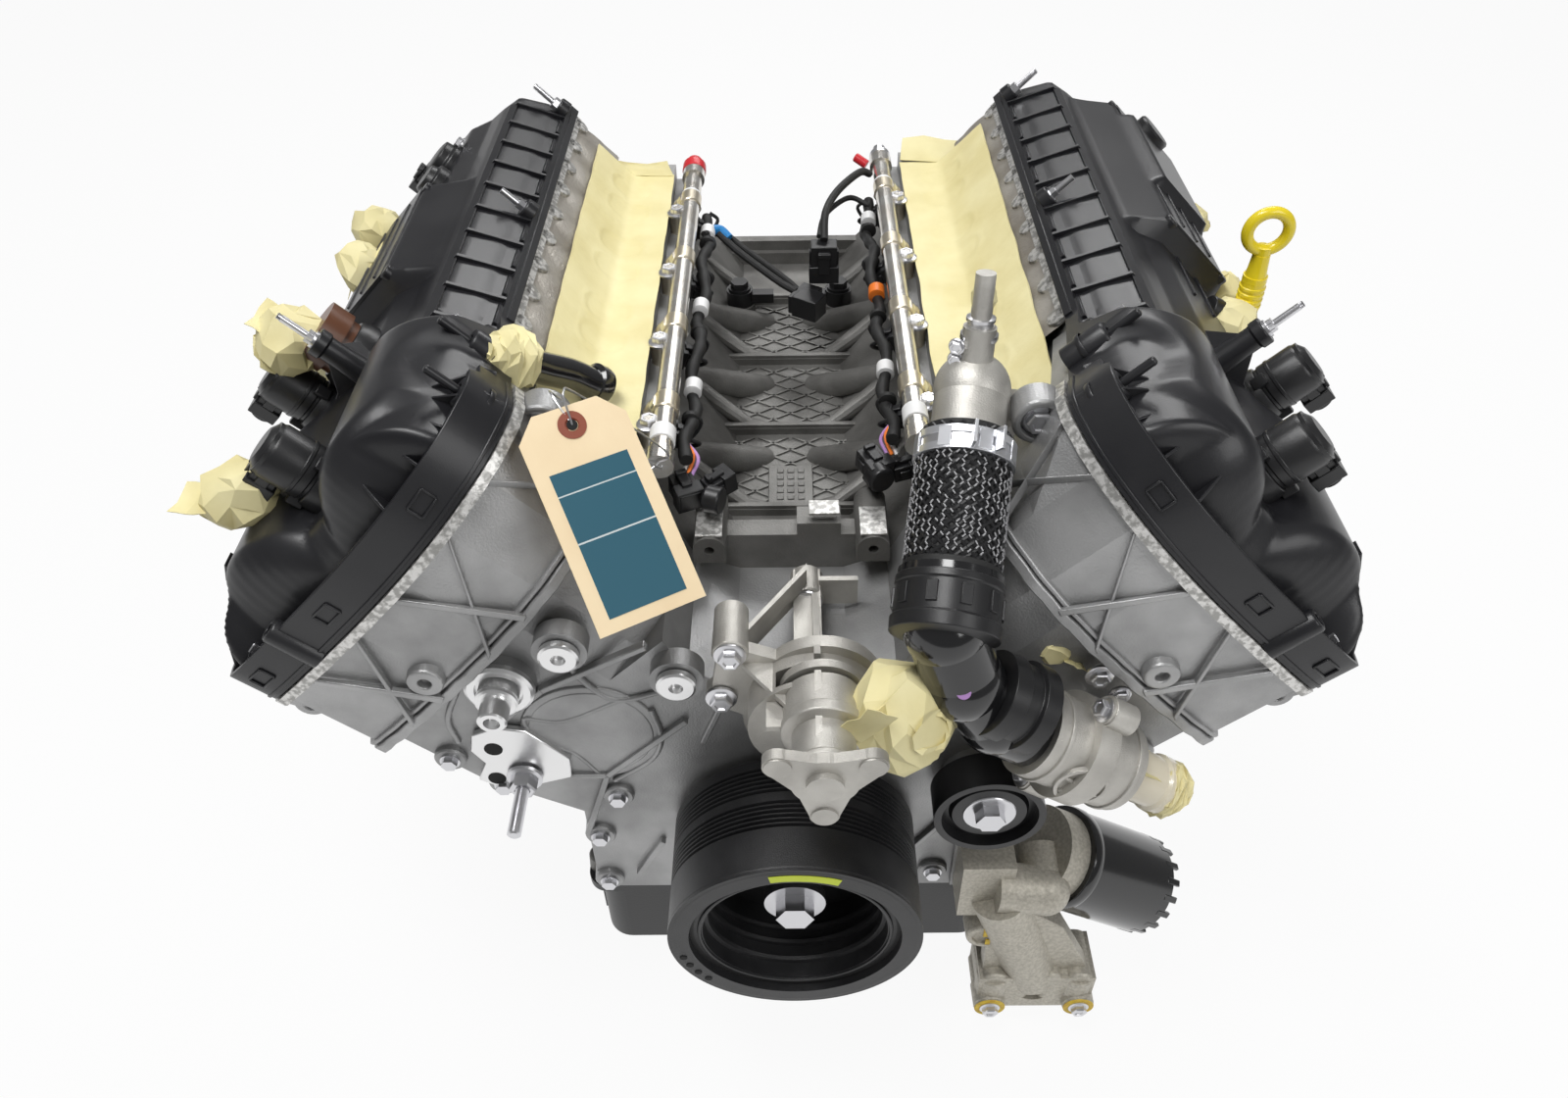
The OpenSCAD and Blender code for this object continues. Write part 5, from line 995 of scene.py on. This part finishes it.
def tower_details(n):
    """Cast wall of the timing case under the cover: pale seam, ridge, ribs and bosses."""
    pale, cast, steel = shapes(3)
    count = len(FRONT)
    for s, u0, u1, proud, wave in ((pale, -7, -0.4, 1.6, 0.5), (cast, -77, -70, 1.0, 1.0), (cast, -69, -66, -0.6, 0.4)):
        band_rings(s, n, [(p - nrm * (proud + wave * sin(k * 1.9)), p + nrm * 5.0, u0, u1)
                          for k, (p, nrm) in enumerate(FRONT)])
    # Cross ribs of the wall: pairs that lean towards each other
    for k, lean in ((7, 4), (12, -5), (17, 5), (22, -4), (27, 5), (33, -5), (39, 3)):
        rings = []
        for i, proud, u, dw in ((k, 1.4, -6, 4), (k + lean, 3.2, -72, 5)):
            p, nrm = FRONT[min(max(int(i * count / 44), 0), count - 1)]
            o, q = p + nrm * 2.0, p - nrm * proud
            rings.append([seam(n, o.x, u, o.y), seam(n, q.x, u, q.y), seam(n, q.x + dw, u - 2, q.y),
                          seam(n, o.x + dw, u - 2, o.y)])
        cast.rings(rings)
    # Threaded boss on the wall, and its two neighbours at the outer end
    for w, u, y, l, r in ((34, 284, -599, 26, 11.5), (120, 318, -584, 46, 10.5), (100, 268, -580, 52, 11.0)):
        cast.lathe(bank(n, w, u, y + l), FWD,
                   [(0, r + 2), (l, r), (l + 1.2, r - 1.2), (l + 1.3, 4.4), (l - 5, 4.0)], 28)
    # Deep round pocket with its screw beside the seam
    cast.lathe(bank(n, -104, 316, -484), FWD, [(0, 17), (17, 16.5), (19, 15), (19.2, 11.5), (12, 11)], 30)
    steel.bolt(bank(n, -104, 316, -497), FWD, 8.4, 8, 1.3)
    pale.make("tower%d_seam" % n, SPECKLE, smooth=35.0, slot="cast_aluminium")
    cast.make("tower%d_ribs" % n, CASE, smooth=35.0, bevel=0.9)
    steel.make("tower%d_screw" % n, ZINC)


# ---------------------------------------------------------------- damper, idler, pump
def damper():
    s, label, dots = shapes(3)
    o = V(0, DAMPER_FRONT, 0)
    # Lips and ledges of the deep bowl
    s.lathe(o + BACK * 6.2, FWD, [(0, 65.6), (1.6, 65.2), (1.9, 64.4), (1.6, 63.2), (0, 62.9), (-6, 62.9), (-6, 63.4)],
            72, loop=True)
    for t in (20.0, 33.0, 44.0):
        s.lathe(o + BACK * t, FWD, [(0, 63.2), (0, 58.4), (2.5, 59.1), (3.5, 63.2)], 72, loop=True)
    # Rolled outer edge
    s.lathe(o + BACK * 3.0, FWD, [(0, 85.2), (1.6, 84.9), (2.6, 84.0), (3.1, 82.4), (3.0, 80), (0, 80)], 96, loop=True)
    s.make("damper_steps", DAMPER, body="crank")
    # Blank label inside the rim, over the top of the bowl
    rings = []
    for a in (radians(68 + 34 * i / 18) for i in range(19)):
        d = V(cos(a), 0, sin(a))
        p, q = o + d * 72.6 + FWD * 0.1, o + d * 79.0 + FWD * 0.1
        rings.append([p, q, q + FWD * 0.3, p + FWD * 0.3])
    label.rings(rings)
    label.make("damper_label", LABEL_YELLOW, body="crank", smooth=0)
    # Four near-black discs drawn for holes in the ring: painted shade
    for a in (radians(196 + k * 8) for k in range(4)):
        dots.lathe(o + V(cos(a) * 79, -0.05, sin(a) * 79), FWD, [(0, 2.6), (0.4, 2.6), (0.5, 1.8)], 16)
    dots.make("damper_dots", HOLE_SHADE, body="crank")


def idler():
    web, bearing = shapes(2)
    web.lathe((131, CASE_Y - 28, 55), FWD, [(0, 32), (1, 32), (1.5, 27), (5, 25), (5.4, 18)], 40)
    bearing.lathe((131, CASE_Y - 30, 55), FWD, [(0, 18.5), (3, 18.5), (4, 17.6), (4.2, 15), (3.6, 13)], 36)
    web.make("idler_web", BLACK, body="idler", slot="connector_plastic")
    bearing.make("idler_bearing", ZINC, body="idler")


def pump_details():
    ribs, hub, wad = shapes(3)
    x, z = 18.0, 172.0
    # Lower webs between the barrel and the plate
    for dx, dz in ((-22, -24), (26, -18)):
        ribs.prism([(x + dx * t, CASE_Y - dy, z + dz * t) for t, dy in ((0.5, 78), (1.4, 10), (0.4, 10))],
                   V(dz, 0, -dx).normalized() * 4)
    for cx, dy, cz in ((10, 82, 166), (-38, 13, 190)):
        ribs.lathe((cx, CASE_Y + dy, cz), FWD, [(0, 11), (20, 11.4), (22.6, 11.4), (23.2, 10.4)], 30)
    ribs.lathe((x, CASE_Y - 50, z), FWD, [(0, 24.6), (2, 25.4), (8, 25.4), (10, 21)], 40)
    ribs.lathe((x, -661, z), FWD, [(0, 19), (1.5, 20.5), (5, 20.5), (6, 18)], 36)
    ribs.make("pump_webs", PUMP, bevel=0.8)
    hub.lathe((x, -670, z), FWD, [(0, 10.5), (3.4, 10.2), (4, 9.4), (4.1, 6), (3.0, 5.6)], 28)
    for a in (radians(30 + k * 120) for k in range(3)):
        hub.lathe((x + cos(a) * 31, -673.0, z + sin(a) * 31), FWD, [(0, 8.2), (1.2, 8.0), (1.3, 4.2)])
    hub.make("pump_hub_face", PUMP, body="pump_shaft")
    # Creased tape over the outlet
    crumple(wad, (66, CASE_Y - 44, 172), 33, (0.55, -0.75, 0.35), 31.0, (1.12, 1.0, 0.78), 0.12, 12)
    flap(wad, (50, CASE_Y - 66, 186), (-0.75, -0.2, 0.6), (0.5, -0.1, 0.8), 20, 34, 32.0, 0.2)
    wad.make("pump_tape", TAPE, smooth=22.0)


def outlet_details():
    """Bolts, ribs and tape of the thermostat housing; dot of the elbow; pipe behind it."""
    d = V(0.84, 0, -0.5426).normalized()
    c, side = V(171, FRONT_Y - 144, 132), V(d.z, 0, -d.x)
    steel, ribs, tape, black, stub, dot = shapes(6)
    for k in (-1, 1):
        e = c + d * 6 + side * 38 * k
        steel.bolt(e - d * 9, -d, 6, 6, 1.35)
        ribs.lathe(e - d * 8, d, [(0, 10), (18, 10), (19, 8.5)])
    for t in (-22, 32):
        ribs.lathe(c + d * t, d, [(0, 29), (0.6, 30.4), (3, 30.4), (3.6, 29)], 44)
    # Raised ring with spokes, blank inside
    g = c + FWD * 27.5 + d * 4
    ribs.lathe(g, FWD, [(0, 17), (3.2, 17), (3.6, 16), (3.6, 14.4), (1.6, 14)], 36)
    for v in (V(cos(a), 0, sin(a)) for a in (0.3, 1.35, 2.4)):
        ribs.box(g + FWD * 2, v * 14, FWD * 1.4, v.cross(FWD) * 1.1)
    ribs.make("thermostat_ribs", PUMP, bevel=0.3)
    e = c + d * 40
    stub.lathe(e, d, [(0, 17.6), (3, 18.4), (4, 17.6), (30, 17.4), (32, 19.2), (38, 19.2), (41, 17), (44.5, 16.6)], 36)
    stub.make("outlet_stub", CLEAR_STUB)
    crumple(tape, e + d * 40, 21, d, 41.0, (0.95, 0.95, 0.7), 0.35, 26)
    flap(tape, e + d * 6 + side * -14, d, FWD, 34, 26, 42.0, 0.1)
    # Pipe behind the elbow, and its taped end
    black.tube(spline([(158, -545, 230), (160, -560, 224), (164, -566, 206), (163, -566, 186)], 8), 9.5, 18)
    black.lathe((152, -540, 232), (-0.5, -0.6, 0.6), [(0, 12), (3, 13), (10, 13), (14, 10), (18, 9)], 28)
    black.lathe((186, -556, 176), (0.1, -1, 0.1), [(0, 16), (8, 16), (9, 13)], 28)
    black.lathe((196, -560, 158), FWD, [(0, 14), (6, 14), (7, 11)], 26)
    crumple(tape, (163, -568, 176), 15, (0, -0.3, -1), 43.0, (1.1, 1.0, 0.95), 0.35)
    flap(tape, (168, -574, 172), (1, -0.2, -0.3), (0, -1, 0.2), 16, 20, 44.0)
    steel.bolt((190, -590, 168), FWD, 6.5, 6, 1.4)
    steel.bolt((206, -590, 150), FWD, 5.5, 5, 1.3)
    m, v = V(101, FRONT_Y - 144, 194), V(-0.15, -0.82, 0.55)
    dot.lathe(m + v.normalized() * 25.0, v, [(0, 4.4), (0.35, 4.2)], 20)
    black.lathe(m + d * 18, d, [(0, 24.6), (1, 27), (12, 27.4), (13, 25.4), (22, 25.4), (23, 28.4), (34, 28.4)], 44)
    black.make("elbow_collar", BLACK, bevel=0.3)
    dot.make("elbow_dot", PURPLE)
    steel.make("outlet_bolts", ZINC)
    tape.make("outlet_tapes", TAPE, smooth=22.0)


def filter_details():
    flutes, bolts, paint, ribs = shapes(4)
    d = V(0.8, 0.1, -0.5916).normalized()
    a = V(194, CASE_Y + 2, -50) + d * 4
    flutes.lathe(a, d, [(0, 38.2), (3, 39.2), (8, 39.2), (10, 38.4)], 56)
    x, y, _ = frame_of(d)
    for o in (polar(x, y, 2 * pi * k / 18) for k in range(18)):
        flutes.box(a + d * 88 + o * 36.6, d * 7, o * 1.6, o.cross(d) * 2.6)
    flutes.make("filter_flutes", GLOSS, bevel=0.8, slot="filter_paint")
    y0 = CASE_Y - 54
    for xx in (153, 223):
        bolts.bolt((xx, y0, -179), FWD, 6.2, 6, 1.3)
        paint.lathe((xx, y0 - 0.1, -179), FWD, [(0, 12.2), (0.5, 12), (0.6, 8.4)], 26)
        ribs.lathe((xx, y0 + 20, -179), FWD, [(0, 13), (18, 12.6), (19.6, 11.4)], 26)
    paint.block((143, CASE_Y - 40.8, -88), 2.2, 0.5, 5)
    paint.block((145, CASE_Y - 40.8, -101), 1.8, 0.5, 3.4)
    # Web of the arm, flutes over the foot and the round plug boss
    ribs.prism([(xx, CASE_Y - 40, z) for xx, z in ((143, -62), (172, -60), (200, -84), (230, -150), (146, -150))],
               (0, 14, 0))
    feet = ((155, 13, -154), (176, 9.5, -150), (199, 9.5, -150), (221, 13, -154), (188, 8, -153))
    for xx, r, z in feet:
        ribs.lathe((xx, CASE_Y - 8, z), FWD, [(0, r), (38, r), (40.5, r - 1.6)], 26)
    for xx, r, _ in feet[:4]:
        ribs.lathe((xx, CASE_Y - 39, -150), DOWN, [(0, r), (34, r), (36, r - 2)], 26)
    ribs.lathe((143, CASE_Y - 22, -96), FWD, [(0, 15), (17, 14.5), (18.5, 13), (18.6, 10), (15, 9.6)], 30)
    ribs.make("adapter_ribs", FOOT, bevel=1.2)
    bolts.make("adapter_bolts", ZINC)
    paint.make("adapter_paint", PAINT_YELLOW)


def dipstick_details():
    grip, socket = shapes(2)
    x, y = 352.0, -280.0
    for z in (240, 245, 250, 255):
        grip.lathe((x, y, z), TOP, [(0, 9), (0.6, 9.8), (2.6, 9.8), (3.2, 9)])
    grip.lathe((x, y, 262), TOP, [(0, 9.2), (8, 7.4), (22, 6.4)])
    grip.make("dipstick_grip", YELLOW, body="oil_dipstick")
    socket.lathe((x, y, 214), TOP, [(0, 5.6), (2, 7), (18, 7), (20, 6.2)], 22)
    socket.make("dipstick_socket", BLACK)


def side_details():
    """Block sides, pan flange bolts, pan ribs and the rear."""
    bolts, cast, pan, rear = shapes(4)
    for n, sx in ((1, -1), (2, 1)):
        for y in range(-560, -31, 66):
            bolts.bolt((sx * 153, y, -93), DOWN, 5, 5, 1.3)
            cast.lathe((sx * 151, y, -85), TOP, [(0, 9.5), (14, 8.5), (16, 7)], 20)
        # Ribs and core plugs on the skirt
        for y in (cyl_y(n, i) for i in range(4)):
            rear.lathe((sx * 139, y + 50, 8), (sx, 0, 0), [(0, 21), (2.2, 21), (2.4, 18.5), (1.2, 17)], 36)
            for dy in (-12, 12):
                cast.block((sx * 141, y + dy, -38), 2.5, 2, 34)
        for z in (-60, 36):
            cast.block((sx * 141, -250, z), 2.5, 205, 2)
    for x in range(-120, 121, 60):
        for y in (-568, -26):
            bolts.bolt((x, y, -93), DOWN, 5, 5, 1.3)
    for sx in (-1, 1):
        for y in range(-520, -63, 76):
            pan.block((sx * 164.5, y, -160), 1.6, 3, 52)
    # Head ends at the rear: core plugs and bolts
    for n in (1, 2):
        for w in (-46, 64):
            rear.lathe(bank(n, w, 324, BANK_REAR[n] - 0.5), BACK, [(0, 20), (2.2, 20), (2.4, 17.5), (1.0, 16)], 36)
        for w, u in ((-40, 262), (40, 262), (88, 318), (10, 318)):
            bolts.bolt(bank(n, w, u, BANK_REAR[n]), BACK, 6, 6, 1.35)
    for x, z in ((62, -70), (66, 6), (34, 56)):
        for sx in (-1, 1):
            bolts.bolt((sx * x, -8.6, z), BACK, 4.6, 4.4, 1.3)
    bolts.make("side_bolts", ZINC)
    cast.make("side_ribs", CAST_DARK, bevel=0.8)
    pan.make("pan_ribs", PAN, bevel=0.5)
    rear.make("core_plugs", ZINC)


def vent_hose():
    """Black hose end beside bank 1 that the tag hangs over, its end taped."""
    s, tape = shapes(2)
    s.tube(spline([(-133, -408, 262), (-146, -416, 276), (-160, -430, 291), (-172, -444, 306)], 8), 11, 20)
    s.lathe((-128, -402, 256), (-0.6, -0.4, 0.65), [(0, 13), (4, 14), (10, 14), (12, 11)], 26)
    crumple(tape, (-175, -449, 311), 19, (-0.6, -0.5, 0.6), 51.0, (1.1, 1.05, 1.0), 0.3, 18)
    s.make("vent_hose", GLOSS)
    tape.make("vent_tape", TAPE, smooth=22.0)


valley()
rails()
wiring()
for bank_no in (1, 2):
    cover_details(bank_no)
    head_details(bank_no)
    embossed_pad(bank_no)
    tower_details(bank_no)
    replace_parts(cover_shell(bank_no), "bank%d_cam_cover" % bank_no)
tapes = [port_tape(1), port_tape(2)]
hose()
tag_obj = tag()
front_details()
damper()
idler()
pump_details()
outlet_details()
filter_details()
dipstick_details()
side_details()
vent_hose()
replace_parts(tapes[0], "port_tapes")
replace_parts(tag_obj, "hang_tag")


# ---------------------------------------------------------------- stage, light, camera
def put(name, data):
    o = bpy.data.objects.new(name, data)
    bpy.context.scene.collection.objects.link(o)
    return o


def node(t, kind, **values):
    n = t.nodes.new("ShaderNode" + kind)
    for key, value in values.items():
        n.inputs[key].default_value = value
    return n


def link(t, *pairs):
    for a, out, b, into in pairs:
        t.links.new(a.outputs[out], b.inputs[into])


# The floor is white to the camera and in reflections, and still a ground for the shadow
floor_mat = mat("floor", (0.8, 0.8, 0.8), 0.9)
t = floor_mat.node_tree
ray, glow, blend = node(t, "LightPath"), node(t, "Emission", Color=(1, 1, 1, 1), Strength=1.0), node(t, "MixShader")
seen, share = node(t, "Math"), node(t, "Math")
seen.operation, share.operation = "MAXIMUM", "MULTIPLY"
share.inputs[1].default_value = 0.93
link(t, (ray, "Is Camera Ray", seen, 0), (ray, "Is Glossy Ray", seen, 1), (seen, 0, share, 0), (share, 0, blend, "Fac"),
     (t.nodes["Principled BSDF"], "BSDF", blend, 1), (glow, "Emission", blend, 2),
     (blend, "Shader", t.nodes["Material Output"], "Surface"))
slab = Shape()
slab.block((0, 0, -230.2), 6000, 6000, 5)
floor_mesh = bpy.data.meshes.new("floor")
floor_mesh.from_pydata([tuple(p * MM) for p in slab.v], [], slab.f)
floor_mesh.materials.append(floor_mat)
put("floor", floor_mesh)

world = bpy.data.worlds.new("world")
bpy.context.scene.world = world
world.use_nodes = True
t = world.node_tree
dim = t.nodes["Background"]
dim.inputs["Color"].default_value = (1, 1, 1, 1)
dim.inputs["Strength"].default_value = 0.24
white, ray, blend = node(t, "Background", Color=(1, 1, 1, 1), Strength=1.0), node(t, "LightPath"), node(t, "MixShader")
link(t, (ray, "Is Camera Ray", blend, "Fac"), (dim, "Background", blend, 1), (white, "Background", blend, 2),
     (blend, "Shader", t.nodes["World Output"], "Surface"))

for name, loc, target, size, power in (("key", (-0.5, -0.6, 2.1), (0, -0.3, 0.1), (1.6, 0.5), 31),
                                       ("fill", (1.2, -1.6, 1.3), (0, -0.4, 0.0), (1.0, 1.0), 11),
                                       ("back", (0.4, 1.3, 1.6), (0, -0.2, 0.2), (1.4, 0.5), 17)):
    light = bpy.data.lights.new(name, "AREA")
    light.energy, light.shape = power, "RECTANGLE"
    light.size, light.size_y = size
    lamp = put(name, light)
    lamp.location = loc
    lamp.rotation_euler = (Vector(target) - Vector(loc)).to_track_quat("-Z", "Y").to_euler()

# Camera: focal length, place and angles fitted to the photograph
lens = bpy.data.cameras.new("camera")
lens.sensor_fit, lens.sensor_width = "HORIZONTAL", 36.0
lens.lens = 1210.0 / 1600.0 * 36.0
lens.clip_start, lens.clip_end = 0.05, 50.0
cam = put("camera", lens)
down, yaw, roll = radians(42.9), radians(-0.55), radians(-0.96)
ahead = V(sin(yaw) * cos(down), cos(yaw) * cos(down), -sin(down))
level = V(cos(yaw), -sin(yaw), 0)
right = polar(level, level.cross(ahead), roll)
upward = right.cross(ahead)
cam.matrix_world = Matrix(((right.x, upward.x, -ahead.x, 0.0007), (right.y, upward.y, -ahead.y, -1.0746),
                           (right.z, upward.z, -ahead.z, 0.7276), (0, 0, 0, 1)))
bpy.context.scene.camera = cam
bpy.context.scene.view_settings.view_transform = "Standard"
